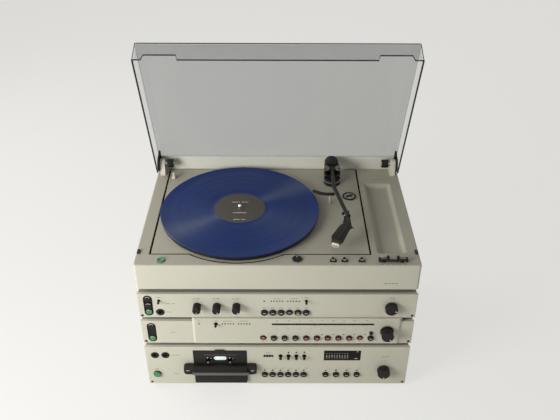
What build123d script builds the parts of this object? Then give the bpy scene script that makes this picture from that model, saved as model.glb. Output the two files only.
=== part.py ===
from build123d import *
import os
from math import atan2, cos, degrees, radians, sin

# Stereo music centre: a record player on an amplifier, a tuner and a cassette deck.
# Millimetres. X runs to the right, Y to the back and Z up. The origin is on the floor, under the
# middle of the whole object with its dust cover open.

os.makedirs("parts", exist_ok=True)

# ---------------------------------------------------------------- driving dimensions: the stack
unit_width = 500
plinth_depth = 332
plinth_height = 54
amp_height = 55.5
tuner_height = 55.5
tape_height = 100
feet_height = 7.5
tape_tuner_gap = 11
tuner_amp_gap = 9.5
amp_plinth_gap = 9
fascia_proud = 4            # the fascias stand this far in front of the plinth
fascia_thickness = 6
rear_reach = 18             # the tips of the rear sockets stand this far behind the plinth
tuning_knob_reach = 22      # the control that stands furthest out of its fascia
plinth_wall = 3
case_wall = 1.5
fit_gap = 0.25              # between pieces that pass each other
running_gap = 0.05          # radial clearance of a shaft in its bearing

# ---------------------------------------------------------------- driving dimensions: record player
spindle_x, spindle_y = -72, 160          # y is measured back from the plinth's front
record_radius = 150.5
record_thickness = 1.6
mat_radius = 147.5
mat_thickness = 2
platter_radius = 149
platter_top = 7                          # above the deck
platter_rim_gap = 1.5
platter_web = 3
platter_rim_wall = 8
bearing_radius = 5
bearing_depth = 34
spindle_radius = 3.6
spindle_top = 19
drive_ring_radius = 68
drive_ring_wall = 4
drive_ring_depth = 8                     # below the deck
well_radius = 131
well_depth = 12
well_wall = 2
pulley_radius = 6.5
pulley_distance = 108
pulley_direction = 142                   # degrees anticlockwise from +X, seen from above
belt_thickness = 0.8
belt_width = 4
motor_radius = 22
motor_height = 27
motor_shaft_radius = 1.5

panel_left, panel_right = -223.5, 162.5  # the floating deck panel
panel_front, panel_rear = 33, 318.5
panel_bulge = 152
panel_thickness = 3
panel_drop = 0.5
groove_side = 3.5
groove_front = 3

rail_inset = 10                          # the rail's front, forward of the plinth's rear
rail_thickness = 3
rail_height = 30
rail_half_width = 243

tray_left, tray_right = 175, 230
tray_front, tray_rear = 33, 266
tray_depth = 9
tray_corner = 7

# ---------------------------------------------------------------- driving dimensions: dust cover
cover_angle = 69.5                       # how far it stands open
cover_setback = 4
cover_rim_gap = 3
cover_height = 44
cover_wall = 3
cover_corner = 6
hinge_inset, hinge_z = 25, 22            # forward of the plinth's rear, above the deck
cover_notch_inner, cover_notch_outer = 172, 234
cover_notch_height = 12
cover_rear_wall_start = 13               # above the hinge line when closed
hinge_pin_radius = 3
hinge_knob_radius = 8.5
hinge_knob_inner, hinge_knob_outer = 215, 229
bracket_inner, bracket_outer = 233, 243
bracket_foot_front, bracket_foot_rear = -13, 11   # from the hinge line
bracket_radius = 9.5

# ---------------------------------------------------------------- driving dimensions: tonearm
pivot_x, pivot_y, pivot_z = 110.8, 278, 27
pedestal_radius = 16.5
pedestal_y = 269
pedestal_height = 12.5
yoke_shaft_radius = 4
yoke_shaft_depth = 24
yoke_half_width = 16
yoke_cheek = 5.5
yoke_half_depth = 9
arm_pin_radius = 1.5
arm_radius = 3.7
arm_bend = (109.8, 210)                  # x, y of the tube's first bend
arm_collar = (129.2, 117)                # x, y of the collar at the head end
arm_drop = 3                             # the head end is this much lower than the pivot
shell_thickness = 3
counterweight_radius = 14
counterweight_front, counterweight_rear = 288, 308
lift_bar_radius = 84
lift_bar_width = 5
lift_bar_start, lift_bar_end = 240, 268  # degrees, about the pivot
lift_post_angle = 264
lift_post_radius = 2.2
lift_post_depth = 8
dial_x, dial_y, dial_radius = 141.7, 216, 13.4
arm_rest_spot = 0.86                     # how far along the tube the rest holds it

# ---------------------------------------------------------------- driving dimensions: deck controls
deck_key_xs = (96.7, 116.6, 146.8)
deck_key_y = 12.5
deck_key_length, deck_key_depth = 11.5, 6
deck_key_height = 2.4
deck_key_corner = 2.4
pitch_knob_x, pitch_knob_y, pitch_knob_radius = 34, 17, 8.7
power_key_x, power_key_y, power_key_radius = -203.5, 13, 7.4
lift_lever_left, lift_lever_right = 175.5, 227
lift_lever_y, lift_lever_depth = 12.5, 11
lock_lever_x, lock_lever_y = -214, 284
lock_pin_radius = 2

# ---------------------------------------------------------------- driving dimensions: fascia controls
key_gap = 0.35
key_tail = 5                             # how far a key reaches behind its panel
pill_x, pill_width, pill_length = -231.6, 16.4, 46.5
amp_pill_height, tuner_pill_height = 28.8, 27.7
pill_key_radius = 6.2
pill_key_pitch = 15.5
socket_ring_radius, socket_body_radius, socket_bore_radius = 7.8, 5.6, 3.2
knob_shaft_radius = 3
toggle_radius = 1.9
toggle_reach = 9
toggle_hole_radius = 3.6
led_radius, tape_led_radius = 1.3, 1.7
led_depth = 6

amp_knob_xs = (-144, -108.8, -73.6)
amp_knob_height, amp_knob_radius, amp_knob_reach = 29.5, 7.3, 17
volume_x, volume_height, volume_radius, volume_reach = 204.2, 26.8, 11.4, 12
amp_key_first, amp_key_pitch, amp_key_count = -23.6, 15.1, 6
amp_key_height, amp_key_radius = 13.2, 6.1
amp_led_height = 39.8
amp_led_first, amp_led_rows, led_pitch = -23.8, (-11.2, 18.4), 5.07
amp_toggle_xs, amp_toggle_height = (-211.8, 51.6), 40.5
amp_jack_x, amp_jack_height = -211.4, 13.3

tuner_panel_left, tuner_panel_right = -151.2, 222.6
tuner_panel_proud = 3.5
tuner_panel_bottom = 3.5                 # above the tuner's own bottom
tuner_panel_rise = 9.7                   # above the tuner's own top
tuner_bevel = 4.4
tuner_key_first, tuner_key_pitch, tuner_key_count = -26.5, 19.9, 11
tuner_key_height, tuner_key_radius = 17.8, 5.7
scale_left, scale_right, scale_height = -10, 176.5, 51.7
scale_slot = 3
pointer_x = 67.8
tuning_x, tuning_height, tuning_radius, tuning_flange_radius = 201, 35.5, 11.2, 12.4
tuner_lamp_height = 52.6                 # of the lamps and the toggle left of the scale
tuner_led_first, tuner_led_rows = -142.7, (-100.6, -71)
tuner_toggle_x = -112.2
small_key_height, small_key_radius = 30.5, 3.2

tape_socket_xs, tape_socket_height = (-232.2, -212.4), 78.7
tape_power_x, tape_power_height, tape_power_radius = -231.8, 28.5, 7.4
bay_left, bay_right = -160, -57.7
bay_top = 91.5                           # above the cassette deck's bottom
hub_xs, hub_height, hub_radius = (-130.5, -88.2), 67, 4.6
door_tab_half = 9.3
door_lug_left, door_lug_right = -178.6, -39.4
door_hinge_height = 24.5
door_pin_radius, door_pin_depth = 1.2, 2.2
door_bottom = 3
cross_bottom, cross_top = 36, 58.5
cross_proud = 13
lug_proud = 8
tape_key_first, tape_key_pitch, tape_key_count = -24.3, 15.05, 6
tape_key_height, tape_key_radius = 27.1, 5.9
mode_key_first, mode_key_pitch, mode_key_count = 93.2, 20.2, 4
tape_toggle_xs, tape_toggle_height = (6, 21, 36, 51), 77
tape_toggle_led_height, tape_key_led_height = 86.5, 38
display_left, display_right = 88.4, 158.6
display_bottom, display_top = 64.4, 91.3
counter_left, counter_right, counter_height, counter_tall = -26.5, -7.5, 76.7, 6.6
level_x, level_height, level_radius, level_reach = 204.2, 40.5, 12, 14.5

screw_x, screw_inset = 244.5, 5
screw_head_radius, screw_radius = 2.4, 1.5
screw_post_width, screw_post_tall, screw_post_depth = 6, 7, 14
vent_length, vent_width, vent_pitch = 50, 4, 14
transformer_core, transformer_coil = (76, 62), (62, 76)
transformer_x, transformer_y = 150, 40
transformer_base, transformer_height = 8, 36

# ---------------------------------------------------------------- places worked out from them
half_width = unit_width / 2
plinth_front = (tuning_knob_reach + fascia_proud - plinth_depth - rear_reach) / 2
plinth_rear = plinth_front + plinth_depth
rail_front = plinth_depth - rail_inset
hinge_y = plinth_depth - hinge_inset     # back from the plinth's front
fascia_front = plinth_front - fascia_proud
fascia_rear = fascia_front + fascia_thickness
case_rear = plinth_rear + case_wall
socket_tip = plinth_rear + rear_reach

tape_z = feet_height
tuner_z = tape_z + tape_height + tape_tuner_gap
amp_z = tuner_z + tuner_height + tuner_amp_gap
plinth_z = amp_z + amp_height + amp_plinth_gap
deck = plinth_z + plinth_height

mat_top = deck + platter_top + mat_thickness
hinge_point = (0, plinth_front + hinge_y, deck + hinge_z)
cover_frame = Plane(
    origin=hinge_point,
    x_dir=(1, 0, 0),
    z_dir=(0, sin(radians(cover_angle)), cos(radians(cover_angle))),
)
spindle_point = (spindle_x, plinth_front + spindle_y)
pivot_point = (pivot_x, plinth_front + pivot_y)
lift_post_point = (
    pivot_point[0] + lift_bar_radius * cos(radians(lift_post_angle)),
    pivot_point[1] + lift_bar_radius * sin(radians(lift_post_angle)),
)


def front(y):
    """A drawing plane at depth y that faces the front: its x is X and its y is Z."""
    return Plane(origin=(0, y, 0), x_dir=(1, 0, 0), z_dir=(0, -1, 0))


def level(z):
    """A drawing plane at height z that faces up."""
    return Plane.XY.offset(z)


def row(first, pitch, count):
    """The x places of a row of equal controls."""
    return [first + pitch * n for n in range(count)]


def save(builder, name):
    """Label a finished sub-part and write it."""
    builder.part.label = name
    export_step(builder.part, f"parts/{name}.step")


amp_key_xs = row(amp_key_first, amp_key_pitch, amp_key_count)
tuner_key_xs = row(tuner_key_first, tuner_key_pitch, tuner_key_count)
tape_key_xs = row(tape_key_first, tape_key_pitch, tape_key_count)
mode_key_xs = row(mode_key_first, mode_key_pitch, mode_key_count)

# ---------------------------------------------------------------- plinth
edge_round = 2.5
plinth_corner = 5
groove_left = panel_left - groove_side
groove_right = panel_right + groove_side
groove_front_y = panel_front - groove_front
inlet_width, inlet_tall, inlet_depth = 22, 14, 12
deck_inlet_x = 190

with BuildPart() as plinth:
    with BuildSketch(level(plinth_z)):
        with Locations((0, plinth_front + plinth_depth / 2)):
            RectangleRounded(unit_width, plinth_depth, plinth_corner)
    extrude(amount=plinth_height)
    fillet(plinth.faces().sort_by(Axis.Z)[-1].edges(), edge_round)
    with BuildSketch(level(plinth_z)):
        with Locations((0, plinth_front + plinth_depth / 2)):
            Rectangle(unit_width - 2 * plinth_wall, plinth_depth - 2 * plinth_wall)
    extrude(amount=plinth_height - plinth_wall, mode=Mode.SUBTRACT)
    # the tray's tub, and the opening for the floating panel
    with BuildSketch(level(deck - plinth_wall)):
        with Locations(((tray_left + tray_right) / 2, plinth_front + (tray_front + tray_rear) / 2)):
            Rectangle(tray_right - tray_left + 2 * plinth_wall, tray_rear - tray_front + 2 * plinth_wall)
    extrude(amount=-tray_depth)
    with BuildSketch(level(deck)):
        with Locations(((tray_left + tray_right) / 2, plinth_front + (tray_front + tray_rear) / 2)):
            RectangleRounded(tray_right - tray_left, tray_rear - tray_front, tray_corner)
    extrude(amount=-tray_depth, mode=Mode.SUBTRACT)
    with BuildSketch(level(deck - plinth_wall)):
        with Locations(((groove_left + groove_right) / 2, plinth_front + (groove_front_y + rail_front) / 2)):
            Rectangle(groove_right - groove_left, rail_front - groove_front_y)
        with Locations(spindle_point):
            Circle(panel_bulge + groove_front)
    extrude(amount=plinth_wall, mode=Mode.SUBTRACT)
    # the rear rail
    with BuildSketch(level(deck)):
        with Locations((0, plinth_front + rail_front + rail_thickness / 2)):
            Rectangle(2 * rail_half_width, rail_thickness)
    extrude(amount=rail_height)
    with BuildSketch(level(deck)):
        with Locations((power_key_x, plinth_front + power_key_y)):
            Circle(power_key_radius + key_gap)
        with Locations((pitch_knob_x, plinth_front + pitch_knob_y)):
            Circle(knob_shaft_radius + fit_gap)
        with Locations(*[(x, plinth_front + deck_key_y) for x in deck_key_xs]):
            Rectangle(deck_key_length + 2 * fit_gap, deck_key_depth + 2 * fit_gap)
        with Locations((lift_lever_left + 10, plinth_front + lift_lever_y),
                       (lift_lever_right - 10, plinth_front + lift_lever_y)):
            Rectangle(8, 8)
    extrude(amount=-plinth_wall, mode=Mode.SUBTRACT)
    with BuildSketch(front(plinth_rear)):
        with Locations((deck_inlet_x, plinth_z + plinth_height / 2)):
            Rectangle(inlet_width, inlet_tall)
    extrude(amount=plinth_wall, mode=Mode.SUBTRACT)
save(plinth, "plinth")

support_inset_x, support_inset_y, support_radius = 18, 17, 6
support_points = [
    (x, plinth_front + y)
    for x in (panel_left + support_inset_x, panel_right - support_inset_x)
    for y in (panel_front + support_inset_y, panel_rear - support_inset_y)
]
with BuildPart() as plinth_floor:
    with BuildSketch(level(plinth_z)):
        with Locations((0, plinth_front + plinth_depth / 2)):
            Rectangle(
                unit_width - 2 * plinth_wall - 2 * fit_gap,
                plinth_depth - 2 * plinth_wall - 2 * fit_gap,
            )
    extrude(amount=plinth_wall)
    with BuildSketch(level(plinth_z)):
        with Locations((0, plinth_front + plinth_depth / 2)):
            with GridLocations(18, 60, 9, 3):
                SlotOverall(40, 4, rotation=90)
    extrude(amount=plinth_wall, mode=Mode.SUBTRACT)
    with BuildSketch(level(plinth_z + plinth_wall)):
        with Locations(*support_points):
            Circle(support_radius)
    extrude(amount=deck - panel_drop - panel_thickness - plinth_z - plinth_wall)
save(plinth_floor, "plinth_floor")

# ---------------------------------------------------------------- floating panel, bearing and motor
panel_top = deck - panel_drop
panel_bottom = panel_top - panel_thickness
well_floor = deck - well_depth - well_wall
pulley_point = (
    spindle_point[0] + pulley_distance * cos(radians(pulley_direction)),
    spindle_point[1] + pulley_distance * sin(radians(pulley_direction)),
)
bearing_wall = 5
dial_shaft_radius = 3

with BuildPart() as subchassis:
    with BuildSketch(level(panel_bottom)):
        with Locations(((panel_left + panel_right) / 2, plinth_front + (panel_front + panel_rear) / 2)):
            Rectangle(panel_right - panel_left, panel_rear - panel_front)
        with Locations(spindle_point):
            Circle(panel_bulge)
    extrude(amount=panel_thickness)
    with BuildSketch(level(well_floor)):
        with Locations(spindle_point):
            Circle(well_radius + well_wall)
    extrude(until=Until.NEXT)
    with BuildSketch(level(well_floor + well_wall)):
        with Locations(spindle_point):
            Circle(well_radius)
    extrude(amount=panel_top - well_floor, mode=Mode.SUBTRACT)
    with BuildSketch(level(panel_top - bearing_depth)):
        with Locations(spindle_point):
            Circle(bearing_radius + bearing_wall)
    extrude(amount=bearing_depth - (panel_top - well_floor) + well_wall)
    with BuildSketch(level(panel_top - bearing_depth)):
        with Locations(spindle_point):
            Circle(bearing_radius + running_gap)
    extrude(amount=bearing_depth, mode=Mode.SUBTRACT)
    with BuildSketch(level(well_floor)):
        with Locations(pulley_point):
            Circle(motor_shaft_radius + fit_gap)
    extrude(amount=well_wall, mode=Mode.SUBTRACT)
    with BuildSketch(level(panel_bottom)):
        with Locations(pivot_point):
            Circle(yoke_shaft_radius + bearing_wall)
        with Locations((dial_x, plinth_front + dial_y)):
            Circle(dial_shaft_radius + fit_gap)
        with Locations(lift_post_point):
            Circle(lift_post_radius + fit_gap)
        with Locations((lock_lever_x, plinth_front + lock_lever_y)):
            Circle(lock_pin_radius + fit_gap)
    extrude(amount=panel_thickness, mode=Mode.SUBTRACT)
save(subchassis, "subchassis")

motor_gap = 0.3
with BuildPart() as drive_motor:
    with BuildSketch(level(well_floor - motor_gap)):
        with Locations(pulley_point):
            Circle(motor_radius)
    extrude(amount=-motor_height)
    with BuildSketch(level(well_floor - motor_gap)):
        with Locations(pulley_point):
            SlotOverall(2 * motor_radius + 22, 14)
    extrude(amount=-2)
    with BuildSketch(level(well_floor - motor_gap)):
        with Locations(pulley_point):
            Circle(motor_shaft_radius + running_gap)
    extrude(amount=-motor_height / 2, mode=Mode.SUBTRACT)
save(drive_motor, "drive_motor")

drive_ring_bottom = deck - drive_ring_depth
belt_bottom = drive_ring_bottom + 1.5
with BuildPart() as motor_pulley:
    with BuildSketch(level(drive_ring_bottom)):
        with Locations(pulley_point):
            Circle(pulley_radius)
    extrude(amount=drive_ring_depth - 1)
    with BuildSketch(level(drive_ring_bottom)):
        with Locations(pulley_point):
            Circle(motor_shaft_radius)
    extrude(amount=-(drive_ring_bottom - well_floor) - motor_gap - motor_height / 2 + 1)
save(motor_pulley, "motor_pulley")

belt_gap = 0.2
with BuildPart() as drive_belt:
    with BuildSketch(level(belt_bottom)):
        for grow, mode in ((belt_gap + belt_thickness, Mode.ADD), (belt_gap, Mode.SUBTRACT)):
            with BuildSketch(mode=Mode.PRIVATE) as loop:
                with BuildLine():
                    CenterArc(spindle_point, drive_ring_radius + grow, 0, 360)
                    CenterArc(pulley_point, pulley_radius + grow, 0, 360)
                make_hull()
            add(loop.sketch, mode=mode)
    extrude(amount=belt_width)
save(drive_belt, "drive_belt")

# ---------------------------------------------------------------- platter, mat and record
rim_inner = platter_radius - platter_rim_wall
web_bottom = platter_top - platter_web
with BuildPart() as platter:
    with BuildSketch(Plane(origin=(*spindle_point, deck), x_dir=(1, 0, 0), z_dir=(0, -1, 0))):
        with BuildLine():
            Polyline(
                (0, -bearing_depth + 1),
                (bearing_radius, -bearing_depth + 1),
                (bearing_radius, web_bottom - 2),
                (bearing_radius + 6, web_bottom),
                (drive_ring_radius - drive_ring_wall, web_bottom),
                (drive_ring_radius - drive_ring_wall, -drive_ring_depth),
                (drive_ring_radius, -drive_ring_depth),
                (drive_ring_radius, web_bottom),
                (rim_inner, web_bottom),
                (rim_inner, platter_rim_gap),
                (platter_radius - 1, platter_rim_gap),
                (platter_radius, platter_rim_gap + 1),
                (platter_radius, platter_top - 1),
                (platter_radius - 1, platter_top),
                (spindle_radius, platter_top),
                (spindle_radius, spindle_top - 2),
                (spindle_radius - 2, spindle_top),
                (0, spindle_top),
                close=True,
            )
        make_face()
    revolve(axis=Axis((*spindle_point, 0), (0, 0, 1)))
save(platter, "platter")

with BuildPart() as platter_mat:
    with BuildSketch(level(deck + platter_top)):
        with Locations(spindle_point):
            Circle(mat_radius)
            Circle(spindle_radius + fit_gap, mode=Mode.SUBTRACT)
    extrude(amount=mat_thickness)
save(platter_mat, "platter_mat")

with BuildPart() as record:
    with BuildSketch(level(mat_top)):
        with Locations(spindle_point):
            Circle(record_radius)
            Circle(spindle_radius + running_gap, mode=Mode.SUBTRACT)
    extrude(amount=record_thickness)
    fillet(record.edges().filter_by(GeomType.CIRCLE).group_by(SortBy.RADIUS)[-1], record_thickness / 3)
save(record, "record")

# ---------------------------------------------------------------- tonearm
arm_z = deck + pivot_z
head_z = arm_z - arm_drop
yoke_base = deck + pedestal_height + 0.4
yoke_floor = 3
cheek_top = arm_z + 7

with BuildPart() as arm_pedestal:
    with BuildSketch(level(panel_top)):
        with Locations((pivot_x, plinth_front + pedestal_y)):
            Circle(pedestal_radius)
    extrude(amount=panel_drop + pedestal_height)
    with BuildSketch(level(deck + pedestal_height * 0.6)):
        with Locations((pivot_x, plinth_front + pedestal_y)):
            Circle(pedestal_radius + 1)
            Circle(pedestal_radius - 0.7, mode=Mode.SUBTRACT)
    extrude(amount=0.8, mode=Mode.SUBTRACT)
    fillet(arm_pedestal.edges().group_by(Axis.Z)[-1], 1)
    with BuildSketch(level(panel_top)):
        with Locations(pivot_point):
            Circle(yoke_shaft_radius + bearing_wall - fit_gap)
    extrude(amount=-(yoke_shaft_depth - pedestal_height))
    with BuildSketch(level(deck + pedestal_height)):
        with Locations(pivot_point):
            Circle(yoke_shaft_radius + running_gap)
    extrude(amount=-yoke_shaft_depth - 2, mode=Mode.SUBTRACT)
save(arm_pedestal, "arm_pedestal")

with BuildPart() as arm_yoke:
    with BuildSketch(level(yoke_base)):
        with Locations(pivot_point):
            RectangleRounded(2 * yoke_half_width, 2 * yoke_half_depth, 3)
    extrude(amount=cheek_top - yoke_base)
    with BuildSketch(level(yoke_base + yoke_floor)):
        with Locations(pivot_point):
            Rectangle(2 * (yoke_half_width - yoke_cheek), 2 * yoke_half_depth)
    extrude(amount=cheek_top - yoke_base, mode=Mode.SUBTRACT)
    fillet(arm_yoke.edges().filter_by(Axis.X).group_by(Axis.Z)[-1], 4)
    with BuildSketch(level(yoke_base)):
        with Locations(pivot_point):
            Circle(yoke_shaft_radius)
    extrude(amount=-yoke_shaft_depth)
    with BuildSketch(Plane(origin=(pivot_x, plinth_front + pivot_y, arm_z), z_dir=(1, 0, 0))):
        Circle(arm_pin_radius + running_gap)
    extrude(amount=2 * yoke_half_width, both=True, mode=Mode.SUBTRACT)
save(arm_yoke, "arm_yoke")

bend_point = (arm_bend[0], plinth_front + arm_bend[1], arm_z)
collar_point = (arm_collar[0], plinth_front + arm_collar[1], head_z)
pivot_centre = (pivot_x, plinth_front + pivot_y, arm_z)
tail_point = (pivot_x, plinth_front + counterweight_rear - 2, arm_z)
hub_half = yoke_half_width - yoke_cheek - fit_gap
with BuildPart() as arm_tube:
    with BuildLine() as tube_line:
        FilletPolyline(tail_point, pivot_centre, bend_point, collar_point, radius=(12, 30))
    with BuildSketch(Plane(origin=tail_point, z_dir=(0, -1, 0))):
        Circle(arm_radius)
    sweep(path=tube_line.line)
    with BuildSketch(Plane(origin=pivot_centre, z_dir=(1, 0, 0))):
        Circle(6)
    extrude(amount=hub_half, both=True)
    with BuildSketch(Plane(origin=pivot_centre, z_dir=(1, 0, 0))):
        Circle(arm_pin_radius)
    extrude(amount=yoke_half_width - 0.5, both=True)
save(arm_tube, "arm_tube")

with BuildPart() as counterweight:
    with BuildSketch(front(plinth_front + counterweight_rear)):
        with Locations((pivot_x, arm_z)):
            Circle(counterweight_radius)
            Circle(arm_radius + running_gap, mode=Mode.SUBTRACT)
    extrude(amount=counterweight_rear - counterweight_front)
    fillet(counterweight.edges().filter_by(GeomType.CIRCLE).group_by(SortBy.RADIUS)[-1], 1.5)
save(counterweight, "counterweight")

# the headshell's outline: collar end, elbow, finger lift and the wider front end
tube_end = Vector(*collar_point) - Vector(*bend_point)
collar_radius, collar_length, collar_overlap = 5, 10, 6


def collar_disc(radius):
    """A disc across the tube's end, from which the headshell's collar is drawn."""
    with BuildSketch(Plane(origin=collar_point, z_dir=tube_end)) as disc:
        Circle(radius)
    return disc.sketch


shell_outline = [
    (124.4, 114), (132.8, 114), (134, 78), (129.2, 72.5), (113.4, 32.5), (94.4, 42.5),
    (95, 52), (112.5, 84.5), (122.4, 95),
]
with BuildPart() as headshell:
    with BuildSketch(level(head_z - shell_thickness / 2)):
        with BuildLine():
            Polyline([(x, plinth_front + y) for x, y in shell_outline], close=True)
        make_face()
    extrude(amount=shell_thickness)
    fillet(headshell.edges().filter_by(Axis.Z), 1.5)
    extrude(collar_disc(collar_radius), amount=collar_length - collar_overlap)
    extrude(collar_disc(collar_radius), amount=-collar_overlap)
    extrude(collar_disc(arm_radius + running_gap), amount=-collar_overlap, mode=Mode.SUBTRACT)
save(headshell, "headshell")

stylus_tip = mat_top + record_thickness + 0.3
shell_angle = degrees(atan2(129.2 - 113.4, 72.5 - 32.5))
cartridge_centre = (105.6, plinth_front + 48)
shell_bottom = head_z - shell_thickness / 2
with BuildPart() as cartridge:
    with BuildSketch(level(shell_bottom)):
        with Locations(Location((*cartridge_centre, 0), -shell_angle)):
            Rectangle(17, 19)
    extrude(amount=-(shell_bottom - stylus_tip - 3))
    with BuildSketch(level(stylus_tip + 3)):
        with Locations(Location((*cartridge_centre, 0), -shell_angle)):
            with Locations((0, -7)):
                Rectangle(8, 9)
    extrude(amount=-1.5)
    with BuildSketch(level(stylus_tip + 1.5)):
        with Locations(Location((*cartridge_centre, 0), -shell_angle)):
            with Locations((0, -9)):
                Circle(0.8)
    extrude(amount=-1.5)
save(cartridge, "cartridge")

rest_x = arm_bend[0] + arm_rest_spot * (arm_collar[0] - arm_bend[0])
rest_y = plinth_front + arm_bend[1] + arm_rest_spot * (arm_collar[1] - arm_bend[1])
rest_z = arm_z - arm_rest_spot * arm_drop
rest_cup = 3
with BuildPart() as arm_rest:
    with BuildSketch(level(panel_top)):
        with Locations((rest_x, rest_y)):
            Circle(3)
    extrude(amount=rest_z - arm_radius - rest_cup - panel_top)
    with BuildSketch(level(rest_z - arm_radius - rest_cup)):
        with Locations((rest_x, rest_y)):
            RectangleRounded(2 * arm_radius + 6, 7, 1.5)
    extrude(amount=rest_cup + arm_radius)
    with BuildSketch(level(rest_z - arm_radius - fit_gap)):
        with Locations((rest_x + arm_radius + 1.2, rest_y)):
            Rectangle(4 * arm_radius + 12, 12, align=(Align.MAX, Align.CENTER))
    extrude(amount=3 * arm_radius, mode=Mode.SUBTRACT)
save(arm_rest, "arm_rest")

lift_bar_top = arm_z - arm_radius - 1.2
lift_bar_thickness = 3
with BuildPart() as arm_lift_bar:
    with BuildSketch(level(lift_bar_top)):
        with BuildLine():
            bar_arc = CenterArc(pivot_point, lift_bar_radius, lift_bar_start, lift_bar_end - lift_bar_start)
            offset(bar_arc, lift_bar_width / 2)
        make_face()
    extrude(amount=-lift_bar_thickness)
    with BuildSketch(level(lift_bar_top - lift_bar_thickness)):
        with Locations(lift_post_point):
            Circle(lift_post_radius)
    extrude(amount=-(lift_bar_top - lift_bar_thickness - panel_top + lift_post_depth))
save(arm_lift_bar, "arm_lift_bar")

# ---------------------------------------------------------------- deck controls
dial_thickness = 2.5
with BuildPart() as antiskate_dial:
    with BuildSketch(level(panel_top + fit_gap)):
        with Locations((dial_x, plinth_front + dial_y)):
            Circle(dial_radius)
    extrude(amount=dial_thickness)
    with BuildSketch(level(panel_top + fit_gap + dial_thickness)):
        with Locations((dial_x, plinth_front + dial_y)):
            Circle(dial_radius - 3)
    extrude(amount=-1, mode=Mode.SUBTRACT)
    with BuildSketch(level(panel_top + fit_gap)):
        with Locations((dial_x, plinth_front + dial_y)):
            Circle(dial_shaft_radius)
    extrude(amount=-panel_thickness - 4)
save(antiskate_dial, "antiskate_dial")

pitch_knob_height = 2.6
with BuildPart() as pitch_knob:
    with BuildSketch(level(deck + fit_gap)):
        with Locations((pitch_knob_x, plinth_front + pitch_knob_y)):
            Circle(pitch_knob_radius)
    extrude(amount=pitch_knob_height - fit_gap)
    chamfer(pitch_knob.edges().group_by(Axis.Z)[-1], 0.8)
    with BuildSketch(level(deck + fit_gap)):
        with Locations((pitch_knob_x, plinth_front + pitch_knob_y)):
            Circle(knob_shaft_radius)
    extrude(amount=-plinth_wall - 6)
save(pitch_knob, "pitch_knob")

with BuildPart() as deck_keys:
    with BuildSketch(level(deck + deck_key_height)):
        with Locations(*[(x, plinth_front + deck_key_y) for x in deck_key_xs]):
            RectangleRounded(deck_key_length, deck_key_depth, deck_key_corner)
    extrude(amount=-deck_key_height - plinth_wall - key_tail)
    fillet(deck_keys.edges().group_by(Axis.Z)[-1], 0.7)
save(deck_keys, "deck_keys")

deck_power_height = 2.6
with BuildPart() as deck_power_key:
    with BuildSketch(level(deck + deck_power_height)):
        with Locations((power_key_x, plinth_front + power_key_y)):
            Circle(power_key_radius)
    extrude(amount=-(deck_power_height + plinth_wall + 6))
    fillet(deck_power_key.edges().group_by(Axis.Z)[-1], 1.5)
save(deck_power_key, "deck_power_key")

lever_axle_z = deck + 3.5
lever_barrel_radius = 3.1
with BuildPart() as lift_lever:
    with BuildSketch(Plane(
        origin=(lift_lever_left, plinth_front + lift_lever_y, lever_axle_z),
        x_dir=(0, 1, 0),
        z_dir=(1, 0, 0),
    )):
        with BuildLine():
            Polyline(
                (-lift_lever_depth / 2, 1.2),
                (-lift_lever_depth / 2 + 1.2, 3),
                (lift_lever_depth / 2 - 1.2, 3),
                (lift_lever_depth / 2, 1.2),
                (0, -lever_barrel_radius / 2),
                close=True,
            )
        make_face()
        Circle(lever_barrel_radius)
    extrude(amount=lift_lever_right - lift_lever_left)
    with BuildSketch(level(lever_axle_z)):
        with Locations((lift_lever_left + 10, plinth_front + lift_lever_y),
                       (lift_lever_right - 10, plinth_front + lift_lever_y)):
            Rectangle(6, 3)
    extrude(amount=-(lever_axle_z - deck + plinth_wall + 5))
save(lift_lever, "lift_lever")

lock_lever_tall = 13
with BuildPart() as lock_lever:
    with BuildSketch(level(deck + 0.4)):
        with Locations((lock_lever_x, plinth_front + lock_lever_y)):
            RectangleRounded(7, 9, 2)
    extrude(amount=4)
    with BuildSketch(level(deck + 4.4)):
        with Locations((lock_lever_x, plinth_front + lock_lever_y)):
            RectangleRounded(4, 4, 1.2)
    extrude(amount=lock_lever_tall - 4)
    with BuildSketch(level(deck + 0.4)):
        with Locations((lock_lever_x, plinth_front + lock_lever_y)):
            Circle(lock_pin_radius)
    extrude(amount=-panel_thickness - 6)
save(lock_lever, "lock_lever")

# ---------------------------------------------------------------- dust cover and its hinges
# Cover pieces are drawn in the cover's own frame: x is X, y runs from the hinge line to the rear of
# the closed cover, and z runs up from the hinge line.
cover_front_y = cover_setback - hinge_y
cover_rear_y = plinth_depth - hinge_y
rim_z = cover_rim_gap - hinge_z
cover_top_z = rim_z + cover_height
cover_mid_y = (cover_front_y + cover_rear_y) / 2
cover_length = cover_rear_y - cover_front_y
rear_cut_start = 8
side_frame = Plane(origin=hinge_point, x_dir=cover_frame.y_dir, z_dir=(1, 0, 0))

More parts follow.
